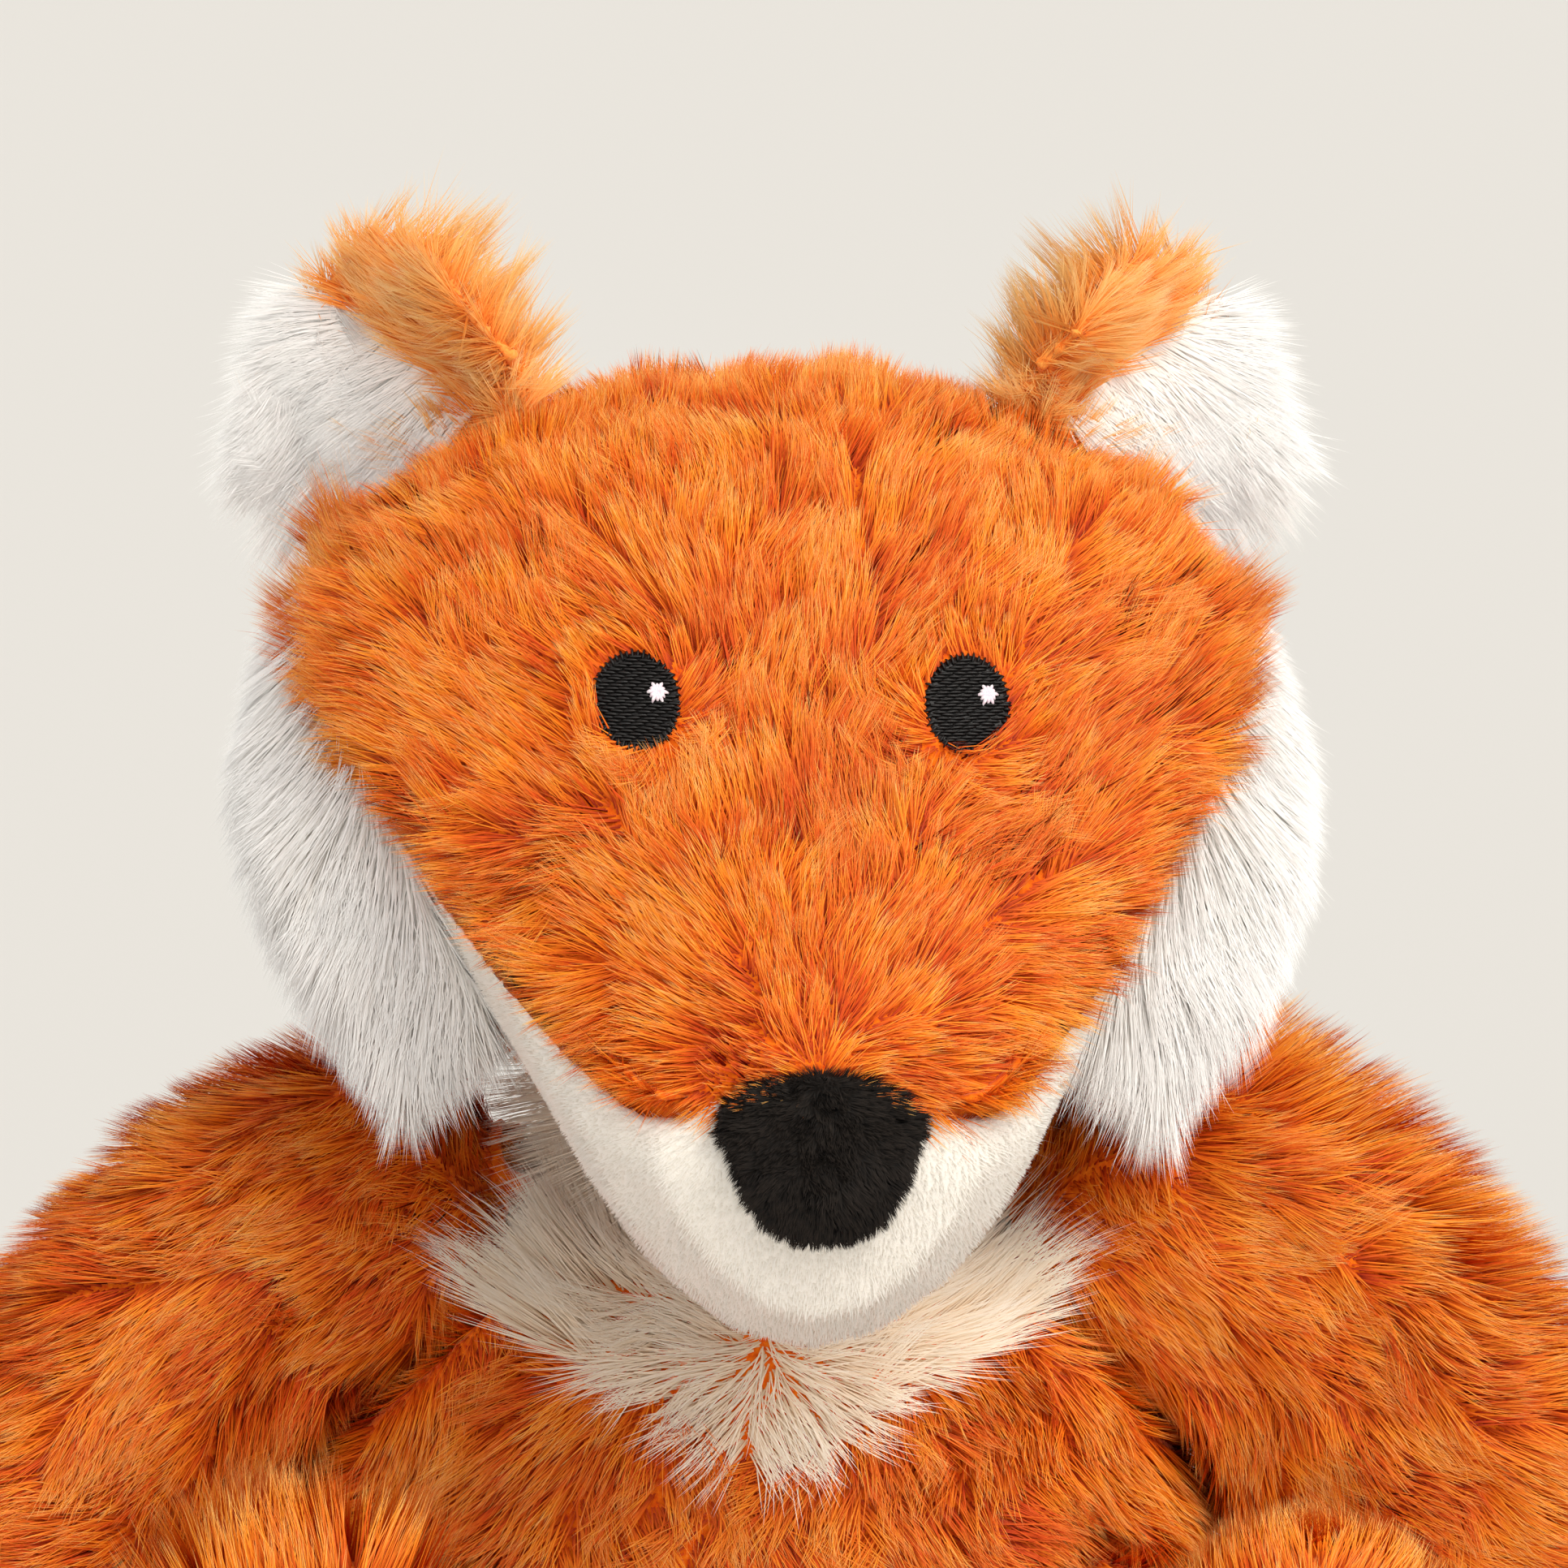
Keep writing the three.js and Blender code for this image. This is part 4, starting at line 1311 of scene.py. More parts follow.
@dataclass
class Head:
    """The head: its skin, orange pile, white jaw, nose and ruffs."""

    salon: Salon
    voxel: float = 2.4 * MM
    eye_ease: float = 9 * MM
    fringe: float = 9 * MM
    ruff_tip: float = 56 * MM
    ruff_pack: float = 12 * MM
    ruff_slim: float = 5 * MM
    TUFTS = (
        (12, 50, 9, 0.55), (-5, 51, 6, 0.35), (-24, 49, 8, 0.25), (30, 48, 8, 0.25), (-40, 45, 6, 0.4),
        (41, 44, 6, 0.4), (54, 34, 5, 0.5), (58, 27, 5, 0.4), (69, 5, 6, 0.8), (66, -12, 6, 0.4),
        (-68, 17, 6, 0.6), (-69, 2, 6, 0.4), (-62, -18, 6, 0.4), (-55, -34, 6, 0.4), (56, -32, 6, 0.4),
    )

    def build(self) -> None:
        """Builds every piece of the head."""
        eyes = [Eye(word) for word, _ in SIDES]
        self.coat(eyes)
        self.jaw()
        self.nose()
        for word, side in SIDES:
            self.ruff(word, side)
        for eye in eyes:
            eye.build()
        Filling("head_filling", "head").build()

    def coat(self, eyes: Sequence["Eye"]) -> None:
        """Makes the head's skin and its long orange pile.

        Args:
            eyes: The eyes, which the skin meets and the pile leaves free.
        """
        nodes = ["head_cover", "head_filling", "chin_cover", "nose", "eye_right", "eye_left"]
        skin = skin_of(nodes, self.voxel, 14)
        outer = skin.points
        x, y, z = outer.T
        mask = skin.nearness("chin_cover") - skin.nearness("head_cover")
        nose_gap = skin.nearness("nose")
        skin.shrink(skin.depths(DEPTH), 6).round_off(3)
        nose, neck = middle("nose"), joint_place("neck_turn")
        nose_top = corners("nose")[1][2]
        brow = eyes[0].centre[2]
        away = unit(outer - vec(0, nose[1] + 12 * MM, nose_top - 5 * MM))
        behind = eased(y, neck[1] - 5 * MM, neck[1] + 30 * MM)[:, None]
        aside = np.abs(x)
        low_share = (1 - eased(z, nose_top, brow)) * eased(aside, 10 * MM, 26 * MM)
        comb = away * vec(1.25, 1, 1) + (behind * 1.4 + 0.45 * low_share[:, None]) * DOWN
        edge = 1 - eased(mask, 0.0, self.fringe)
        chin_high = corners("chin_cover")[1]
        under = eased(y, chin_high[1] - 14 * MM, chin_high[1] - 4 * MM)
        under *= 1 - eased(z, chin_high[2] - 14 * MM, chin_high[2] + 4 * MM)
        comb = unit(comb) * (1 - under[:, None]) + under[:, None] * (BACK + 0.6 * DOWN)
        reach = 0.62 + 0.38 * eased(np.linalg.norm(outer - nose, axis=1), 12 * MM, 50 * MM)
        reach = np.maximum(reach, 0.8 * edge) * (1 - 0.2 * edge * eased(-x, 0.0, 20 * MM))
        reach *= (1 + 0.18 * eased(aside, 45 * MM, 68 * MM)) * (1 - 0.45 * under)
        lift = 0.25 * edge
        tucked = eased(-x, 6 * MM, 26 * MM)
        cover = np.minimum(mask + (0.8 - 2.2 * tucked) * MM, nose_gap + nose_corners(outer) - 0.6 * MM)
        mess = 0.25 * np.ones(len(outer))
        for across, above, size, extra in self.TUFTS:
            off = np.hypot(x - across * MM, z - brow - above * MM) / (size * MM)
            bump = np.exp(-off**2 - ((y - neck[1] + 14 * MM) / (16 * MM)) ** 2)
            reach, lift = reach * (1 + extra * bump), np.maximum(lift, 0.55 * bump)
        for eye, (_, side) in zip(eyes, SIDES):
            rim = eye.rim(outer)
            pinned = (1 - eased(rim, 0.4 * MM, 6 * MM))[:, None]
            skin.points = skin.points * (1 - pinned) + eye.on_face(outer, -0.5 * MM) * pinned
            cover = np.minimum(cover, eye.rim(skin.points) + 0.7 * MM)
            near = (1 - eased(rim, 0.0, self.eye_ease))[:, None]
            ray = unit((outer - eye.centre) * vec(1, 0.2, 1))
            comb = unit(comb)
            towards = np.minimum((comb * ray).sum(-1, keepdims=True), 0)
            comb = comb + near * (0.35 - 1.1 * towards) * ray
            reach *= 0.62 + 0.38 * eased(rim, 0.0, self.eye_ease)
            for out, drop, size, amount in ((3, 22, 9, 3.0), (-13, 33, 8, 2.5)):
                swirl = eye.centre + vec(side * out * MM, -10 * MM, -drop * MM)
                mess += amount * np.exp(-(np.linalg.norm(outer - swirl, axis=1) / (size * MM)) ** 2)
        comb = swirled(comb, skin, 34 * MM, 0.3)
        tone = patches(outer, 0.2)
        dress(skin.object("head_skin"), "head", ORANGE.cloth(), ["head_cover"])
        for word, side in SIDES:
            plant(skin, comb, np.minimum(cover, side * x), reach, mess, tone, lift)
            self.salon.grow(f"head_pile_{word}", skin, HEAD_PILE, ORANGE, "head")

    def jaw(self) -> None:
        """Makes the jaw and its short white pile."""
        skin = skin_of(["chin_cover"], 1.3 * MM, 24)
        skin.shrink(0.9 * MM, 2)
        comb = skin.points - middle("nose")
        plant(skin, comb + 0.02 * DOWN, cover=skin.normals @ vec(0, -1, -0.4) + 0.75)
        dress(skin.object("jaw_skin"), "head", JAW.cloth(), ["chin_cover"])
        self.salon.grow("jaw_pile", skin, JAW_PILE, JAW, "head")

    def nose(self) -> None:
        """Makes the nose pad and its short black pile."""
        skin = skin_of(["nose"], 0.9 * MM, 16)
        skin.points = skin.points + nose_corners(skin.points)[:, None] * DOWN
        skin.shrink(0.8 * MM, 2)
        comb = (skin.points - middle("nose")) * vec(1, 0.3, 1) + 0.012 * DOWN
        plant(skin, comb)
        dress(skin.object("nose_skin"), "head", BLACK.cloth(), ["nose"])
        self.salon.grow("nose_pile", skin, NOSE_PILE, BLACK, "head")

    def ruff(self, word: str, side: int) -> None:
        """Makes a cheek ruff and its long white pile.

        Args:
            word: The fox's own side.
            side: Its sign along X.
        """
        node = f"cheek_ruff_{word}"
        skin = skin_of([node], 1.8 * MM, 10)
        outer = skin.points
        low, high = corners(node)
        height = eased(outer[:, 2], low[2], high[2])[:, None]
        inner = skin.blurred(eased(-side * skin.normals[:, :1], 0.0, 0.7), 8)
        skin.shrink(skin.depths(4.6 * MM, 0.36), 5).round_off(12)
        packed = inner * (1 - eased(outer[:, 2:], high[2] - 26 * MM, high[2]))
        packed = packed * eased(outer[:, 2:], low[2] + 4 * MM, low[2] + 24 * MM)
        slimmed = (1 - inner) * eased(outer[:, 2:], low[2] + 40 * MM, high[2] - 10 * MM)
        off = side * self.ruff_tip - skin.points[:, 0]
        low_end = 1 - eased(outer[:, 2], low[2], low[2] + 26 * MM)
        tapered = low_end * off * np.where(side * off > 0, 0.6, 0.12)
        skin.points = skin.points + packed * vec(-side * self.ruff_pack, -5 * MM, 0)
        skin.points = skin.points - slimmed * vec(side * self.ruff_slim, 0, 0)
        skin.points = skin.points + tapered[:, None] * vec(1, 0, 0)
        outwards = vec(side, -0.1, 0) * (0.15 + 0.2 * height) * (1 - inner)
        inwards = vec(-side * 0.45, -0.5, 0) * inner
        comb = swirled(1.1 * DOWN + outwards * (1 - inner) + inwards, skin, 24 * MM, 0.2)
        low_share, inner = 1 - height[:, 0], inner[:, 0]
        reach = 0.9 + (0.06 + 0.1 * side) * low_share + 0.2 * inner * height[:, 0]
        plant(skin, comb, reach=reach, lift=0.4 * inner * height[:, 0])
        dress(skin.object(f"{node}_skin"), "head", WHITE.cloth(), [node])
        self.salon.grow(f"{node}_pile", skin, RUFF_PILE, WHITE, "head")


@dataclass
class Eye:
    """An embroidered eye: a dark cloth patch under rows of satin stitches, with a star glint."""

    word: str
    row_gap: float = 0.42 * MM
    stitch: float = 2.3 * MM
    thread: float = 0.36 * MM
    rim_stitches: int = 46
    rim_length: float = 1.5 * MM
    glint_rays: int = 12

    def __post_init__(self) -> None:
        """Finds the eye's place and the bend of its face."""
        low, high = corners(f"eye_{self.word}")
        self.centre, self.half = (low + high) / 2, (high - low) / 2
        self.bend = self.face(f"eye_{self.word}")

    def build(self) -> None:
        """Builds the patch, the stitches and the glint."""
        self.patch()
        self.rows()
        self.glint()

    def rim(self, places: np.ndarray) -> np.ndarray:
        """Measures how far places on the front of the head lie outside the eye's edge.

        Args:
            places: The places.

        Returns:
            Distances in metres, below 0 inside the eye.
        """
        off = (places - self.centre) / self.half
        flat = (np.hypot(off[:, 0], off[:, 2]) - 1) * self.half[0]
        return np.where(places[:, 1] < self.centre[1] + 25 * MM, flat, 1.0)

    def on_face(self, places: np.ndarray, lift: float) -> np.ndarray:
        """Moves places along Y onto the face of the eye.

        Args:
            places: The places.
            lift: How far they stand off it.

        Returns:
            The moved places.
        """
        ahead = self.terms(places[:, 0], places[:, 2]) @ self.bend - lift
        return np.stack([places[:, 0], ahead, places[:, 2]], -1)

    def face(self, node: str) -> np.ndarray:
        """Fits a smooth surface to the front of the eye.

        Args:
            node: The eye's CAD node.

        Returns:
            Six numbers of a quadratic in x and z that gives y.
        """
        tree = surface_tree([node])
        shares = np.linspace(-0.8, 0.8, 9)
        samples = []
        for u, v in ((u, v) for u in shares for v in shares if math.hypot(u, v) <= 0.95):
            hit = tree.ray_cast(self.centre + vec(u, 0, v) * self.half - vec(0, 1, 0), (0, 1, 0))[0]
            if hit is not None:
                samples.append(tuple(hit))
        places = np.array(samples)
        return np.linalg.lstsq(self.terms(places[:, 0], places[:, 2]), places[:, 1], rcond=None)[0]

    def terms(self, x: np.ndarray, z: np.ndarray) -> np.ndarray:
        """Lists the quadratic's terms at each place."""
        u, v = x - self.centre[0], z - self.centre[2]
        return np.stack([np.ones_like(u), u, v, u * u, u * v, v * v], -1)

    def draped(self, mesh: bpy.types.Mesh, lift: float) -> bpy.types.Mesh:
        """Lays a flat mesh on the eye's surface.

        Args:
            mesh: A mesh in x and z whose y is its height towards the front.
            lift: How far it stands off the surface.

        Returns:
            The same mesh.
        """
        form = Form(mesh)
        places = form.points
        terms, bend = self.terms(places[:, 0], places[:, 2]), self.bend
        u, v = terms[:, 1], terms[:, 2]
        along_x = bend[1] + 2 * bend[3] * u + bend[4] * v
        along_z = bend[2] + bend[4] * u + 2 * bend[5] * v
        ahead = unit(np.stack([along_x, -np.ones_like(u), along_z], -1))
        ground = np.stack([places[:, 0], terms @ bend, places[:, 2]], -1)
        form.points = ground + ahead * (lift - places[:, 1])[:, None]
        return mesh

    def patch(self) -> None:
        """Makes the domed patch under the stitches."""
        disc = bmesh.new()
        rings, spokes, thick = 8, 40, 1.2 * MM

        def ring(share: float, depth: float) -> list[bmesh.types.BMVert]:
            """Adds a ring of points."""
            return [disc.verts.new(self.on_oval(share, s / spokes, depth)) for s in range(spokes)]

        top = [ring(r / rings, 0.0) for r in range(1, rings + 1)]
        hub = disc.verts.new(self.on_oval(0, 0, 0.0))
        foot = ring(1, thick)
        heel = disc.verts.new(self.on_oval(0, 0, thick))
        for s in range(spokes):
            t = (s + 1) % spokes
            disc.faces.new((hub, top[0][s], top[0][t]))
            for inner, outer in zip(top, top[1:] + [foot]):
                disc.faces.new((inner[s], outer[s], outer[t], inner[t]))
            disc.faces.new((foot[t], foot[s], heel))
        mesh = bpy.data.meshes.new(f"eye_{self.word}_patch")
        disc.to_mesh(mesh)
        disc.free()
        self.draped(mesh, -0.2 * MM)
        fixed = bmesh.new()
        fixed.from_mesh(mesh)
        bmesh.ops.recalc_face_normals(fixed, faces=fixed.faces)
        fixed.to_mesh(mesh)
        fixed.free()
        mesh.shade_smooth()
        piece = added(f"eye_{self.word}_patch", mesh)
        dress(piece, "head", EYE_THREAD.material(), [f"eye_{self.word}"])

    def on_oval(self, share: float, turn: float, depth: float) -> tuple[float, float, float]:
        """Finds a place on the eye's oval, flat, with its depth as y.

        Args:
            share: Share of the way from the centre to the edge.
            turn: Angle round the oval, as a share of a full turn.
            depth: The place's y.

        Returns:
            The place.
        """
        angle = 2 * math.pi * turn
        x = self.centre[0] + share * self.half[0] * 0.97 * math.cos(angle)
        z = self.centre[2] + share * self.half[2] * 0.97 * math.sin(angle)
        return x, depth, z

    def rows(self) -> None:
        """Embroiders the eye: brick rows of stitches and a rim of short ones across the edge."""
        step = self.stitch * 0.86
        shared = {
            "Half Width": float(self.half[0]) * 0.93, "Half Height": float(self.half[2]) * 0.93,
            "Centre": tuple(self.centre),
        }
        rows = shared | {
            "Columns": int(2 * self.half[0] / step) + 2, "Rows": int(2 * self.half[2] / self.row_gap),
            "Step": step, "Gap": self.row_gap, "Length": self.stitch, "Thread": self.thread, "Seed": 5,
        }
        rim = shared | {
            "Rays": self.rim_stitches, "Length": self.rim_length, "Thread": self.thread * 1.1,
            "Uneven": 0.3,
        }
        self.embroider("stitches", StitchTree.rows(), rows, EYE_THREAD, 0.05 * MM)
        self.embroider("rim", StitchTree.rays(), rim, EYE_THREAD, 0.12 * MM)

    def glint(self) -> None:
        """Embroiders the star glint: threads that cross at its middle."""
        low, high = corners(f"eye_glint_{self.word}")
        half = (high - low) / 2
        values = {
            "Rays": self.glint_rays, "Half Width": float(half[0]) * 0.4,
            "Half Height": float(half[2]) * 0.4, "Length": float(half[0]) * 0.95,
            "Thread": self.thread * 1.5, "Uneven": 0.4, "Centre": tuple((low + high) / 2),
        }
        piece = self.embroider("glint", StitchTree.rays(), values, GLINT_THREAD, 0.35 * MM)
        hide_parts(f"eye_glint_{self.word}")

    def embroider(
        self, part: str, tree: Tree, values: dict[str, object], finish: GrainFinish, lift: float
    ) -> bpy.types.Object:
        """Lays stitches on the eye and puts them in the scene.

        Args:
            part: What they are, for the piece's name.
            tree: The tree that lays them.
            values: Its inputs.
            finish: Their thread.
            lift: How far they stand off the eye.

        Returns:
            The piece.
        """
        holder = added(part, bpy.data.meshes.new(part))
        mesh = self.draped(tree.apply(holder, values | {"Material": finish.material()}), lift)
        mesh.shade_smooth()
        painted = mesh.materials[-1]
        mesh.materials.clear()
        mesh.materials.append(painted)
        piece = added(f"eye_{self.word}_{part}", mesh)
        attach(piece, "head")
        return piece


class StitchTree:
    """The node trees that lay stitches, flat in x and z with their height as y."""

    @staticmethod
    def stitch(tree: Tree, length: Value, thread: Value) -> bpy.types.NodeSocket:
        """Makes one stitch along X: a thread whose ends dip into the cloth.

        Args:
            tree: The tree that it is part of.
            length: Its length.
            thread: The thread's diameter.

        Returns:
            The stitch.
        """
        values = {"Vertices": 6, "Side Segments": 4, "Radius": 0.5, "Depth": 1.0}
        body = tree.node("GeometryNodeMeshCylinder", values)
        x, y, z = tree.parts(tree.here())
        dip = (z.do("ABSOLUTE") * 2.0).do("POWER", 3.0)
        girth = (dip * -0.55 + 1.0) * thread
        high = y * girth + dip * thread * 0.7
        return tree.place(body.outputs[0], tree.joined(z * length, high, x * girth))

    @staticmethod
    def rows() -> Tree:
        """Writes the tree for brick rows of stitches inside an oval.

        Returns:
            The tree.
        """
        tree = Tree("stitch_rows")
        columns, rows = tree.input("Columns", "Int", 6), tree.input("Rows", "Int", 30)
        step, gap, length, thread, half_width, half_height = (
            tree.input(name) for name in ("Step", "Gap", "Length", "Thread", "Half Width", "Half Height")
        )
        centre, seed = tree.input("Centre", "Vector"), tree.input("Seed", "Int", 1)
        material = tree.input("Material", "Material")
        line = tree.node("GeometryNodeMeshLine", {"Count": columns * rows})
        index = tree.value("GeometryNodeInputIndex")
        row = (index / columns).do("FLOOR")
        column = index - row * columns
        draw_x, draw_z, _ = tree.parts(tree.chance(seed))
        brick = (row * 0.382).do("FRACT") * step
        x = (column - columns * 0.5) * step + brick + draw_x * (step * 0.1)
        z = draw_z * (gap * 0.12) + (row - rows * 0.5) * gap
        placed = tree.place(line.outputs[0], tree.joined(x, 0.0, z))
        px, _, pz = tree.parts(tree.here())
        u, v = px / half_width, pz / half_height
        outside = (u * u + v * v).do("GREATER_THAN", 0.92)
        inner = tree.node("GeometryNodeDeleteGeometry", {"Geometry": placed, "Selection": outside})
        values = {
            "Points": inner.outputs[0],
            "Instance": StitchTree.stitch(tree, length, thread),
            "Rotation": tree.joined(0.0, draw_z * 0.07, 0.0),
        }
        StitchTree.close(tree, values, centre, material)
        return tree

    @staticmethod
    def rays() -> Tree:
        """Writes the tree for stitches across an oval's edge, or for the rays of a star.

        Returns:
            The tree.
        """
        tree = Tree("stitch_rays")
        rays = tree.input("Rays", "Int", 12)
        half_width, half_height, length, thread, uneven = (
            tree.input(name) for name in ("Half Width", "Half Height", "Length", "Thread", "Uneven")
        )
        centre, material = tree.input("Centre", "Vector"), tree.input("Material", "Material")
        line = tree.node("GeometryNodeMeshLine", {"Count": rays})
        index = tree.value("GeometryNodeInputIndex")
        turn = index / rays * (2 * math.pi)
        edge = tree.joined(turn.do("COSINE") * half_width, 0.0, turn.do("SINE") * half_height)
        values = {
            "Points": tree.place(line.outputs[0], edge),
            "Instance": StitchTree.stitch(tree, length, thread),
            "Rotation": tree.joined(0.0, turn * -1.0, 0.0),
            "Scale": tree.joined(1.0 - index.do("MODULO", 2.0) * uneven, 1.0, 1.0),
        }
        StitchTree.close(tree, values, centre, material)
        return tree

    @staticmethod
    def close(tree: Tree, values: dict[str, object], centre: Value, material: Value) -> None:
        """Plants the stitches about a middle and gives them their material.

        Args:
            tree: The tree.
            values: What is planted where.
            centre: The middle.
            material: The thread's material.
        """
        placed = tree.node("GeometryNodeInstanceOnPoints", values)
        x, _, z = tree.parts(centre)
        tree.finish(placed.outputs[0], material, tree.joined(x, 0.0, z))


@dataclass
class Ear:
    """An ear: an orange back that folds round its edge, and a white lining of long pile."""

    salon: Salon
    word: str
    side: int
    depth: float = 3.6 * MM
    hem: float = 18 * MM

    def build(self) -> None:
        """Builds the ear's skin and its two piles."""
        nodes = [f"ear_back_{self.word}", f"ear_lining_{self.word}"]
        skin = skin_of(nodes, 1.5 * MM, 8)
        outer = skin.points
        x, _, z = outer.T
        lining = skin.nearness(nodes[0]) - skin.nearness(nodes[1])
        hinge = joint_place(f"ear_fold_{self.word}")
        low, high = corners(nodes[0])
        tip = vec((low[0] + high[0]) / 2 + self.side * 5 * MM, (low[1] + high[1]) / 2, high[2])
        axis = unit(tip - hinge)
        skin.shrink(skin.depths(self.depth), 4)
        along = (skin.points - hinge) @ axis
        skin.points = skin.points - (0.13 * np.maximum(along, 0))[:, None] * axis
        outward = self.side * (x - tip[0])
        slant = high[2] - self.hem + np.minimum(outward, 12 * MM) * 0.9 - z
        white = np.minimum(lining, slant)
        body = f"ear_{self.word}"
        dress(skin.object(f"{body}_skin"), body, EAR_PAINTED_LIGHT.cloth(), nodes)
        inner = eased(-self.side * skin.normals[:, 0], -0.2, 0.5)
        comb = axis + 0.3 * unit(outer - hinge) + inner[:, None] * vec(-self.side * 0.4, 0, 0.6)
        # The orange back pile is made lighter by its tone: painted light, for light shining through the
        # thin ear.
        plant(
            skin, swirled(comb, skin, 20 * MM, 0.2), cover=0.5 * MM - white, reach=1 + 0.45 * inner,
            tone=0.2, lift=0.2 + 0.35 * inner,
        )
        self.salon.grow(f"ear_back_pile_{self.word}", skin, EAR_BACK_PILE, EAR_PAINTED_LIGHT, body)
        outwards = vec(self.side * 0.8, -0.1, -0.3)
        up_share = eased(z, hinge[2] + 8 * MM, high[2])
        hanging = 1 - eased(z, low[2], low[2] + 18 * MM)
        aside = eased(self.side * skin.normals[:, 0], 0.1, 0.8)
        comb = outwards + axis * (up_share[:, None] * 1.2 - 0.35) + 0.9 * hanging[:, None] * DOWN
        reach = 1 + 0.7 * hanging + (0.35 + 0.2 * self.side) * aside * (1 - hanging)
        rising = 0.5 * (1 - eased(white, 1 * MM, 7 * MM)) * (1 - aside)
        plant(
            skin, swirled(comb, skin, 24 * MM, 0.15), cover=white + 0.3 * MM, reach=reach,
            lift=np.maximum(0.3 * hanging, rising),
        )
        self.salon.grow(f"ear_lining_pile_{self.word}", skin, EAR_LINING_PILE, WHITE, body)


@dataclass
class Torso:
    """The torso: its skin, orange pile and cream bib."""

    salon: Salon
    ground_reach: float = 0.35

    def build(self) -> None:
        """Builds the torso's skin, piles and fillings."""
        skin = skin_of(["torso_cover", "torso_filling", "chest_bib"], 2.8 * MM, 14)
        outer = skin.points
        x, _, z = outer.T
        bib = skin.nearness("torso_cover") - skin.nearness("chest_bib")
        limbs = [f"{limb}_cover_{word}" for limb in ("arm", "leg") for word, _ in SIDES]
        free = skin.freedom(*limbs)
        skin.shrink(skin.depths(DEPTH) * at_least(SEAM_DEPTH, free), 6)
        low, high = corners("torso_cover")
        neck = joint_place("neck_turn")
        nodes = ["torso_cover", "chest_bib"]
        dress(skin.object("torso_skin"), "torso", ORANGE.cloth(), nodes)
        collar = vec(0, neck[1], high[2])
        away = unit(outer - collar)
        comb = swirled(away * vec(1.1, 1.1, 0.6) + 0.8 * DOWN, skin, 40 * MM, 0.4)
        ground = eased(z, low[2], low[2] + 14 * MM)
        chest = np.linalg.norm(outer - vec(0, low[1], high[2] - 30 * MM), axis=1)
        mess = 0.3 + 0.8 * np.exp(-(chest / (40 * MM)) ** 2)
        reach = at_least(self.ground_reach, ground) * at_least(SEAM_REACH, free)
        top = eased(z, high[2] - 16 * MM, high[2] - 4 * MM)
        reach = reach * (1 + 0.35 * top)
        collar_share = eased(np.abs(x), 12 * MM, 32 * MM)
        bib = bib + 8 * MM * collar_share * eased(z, high[2] - 26 * MM, high[2] - 10 * MM)
        for word, side in SIDES:
            cover = np.minimum.reduce([0.5 * MM - bib, side * x, z - low[2] - 2 * MM])
            # The half on the key lamp's side (+X) is a little lighter: painted light.
            plant(skin, comb, cover, reach, mess, patches(outer, 0.18) + 0.03 * side, 0.55 * top)
            self.salon.grow(f"torso_pile_{word}", skin, TORSO_PILE, ORANGE, "torso")
        chin = vec(0, low[1] + 25 * MM, high[2] - 16 * MM)
        comb = unit(outer - chin) * vec(1.5, 1, 1)
        plant(
            skin, swirled(comb, skin, 20 * MM, 0.5), bib + 0.5 * MM, 1 + 0.6 * collar_share, 0.6,
            lift=0.55 * collar_share,
        )
        self.salon.grow("bib_pile", skin, BIB_PILE, CREAM, "torso")
        Filling("torso_filling", "torso").build()
        Filling("pellet_bag", "torso", PELLET_CLOTH, 2 * MM, 1 * MM, 0.5 * MM, 0.7).build()


@dataclass
class Neck:
    """The soft neck between the torso and the head, with the bib's pile round its front."""

    salon: Salon

    def build(self) -> None:
        """Builds the neck with its piles."""
        skin = skin_of(["neck_filling"], 2.5 * MM, 10)
        skin.shrink(3 * MM, 3)
        dress(skin.object("neck_skin"), "neck", ORANGE.cloth(), ["neck_filling"])
        place = skin.points - joint_place("neck_turn")
        level = 16 * MM - np.abs(place[:, 2])
        front = -place[:, 1] + 6 * MM
        plant(skin, DOWN + skin.normals * 0.3, cover=np.minimum(level, -front - 8 * MM))
        self.salon.grow("neck_back_pile", skin, NECK_BACK_PILE, ORANGE, "neck")
        comb = place * vec(1, 0.2, 0) + 0.006 * DOWN
        aside = eased(np.abs(place[:, 0]), 6 * MM, 16 * MM)
        plant(skin, comb, cover=np.minimum(level, front + 8 * MM), reach=1 + 0.35 * aside, mess=0.4)
        self.salon.grow("neck_front_pile", skin, NECK_FRONT_PILE, CREAM, "neck")


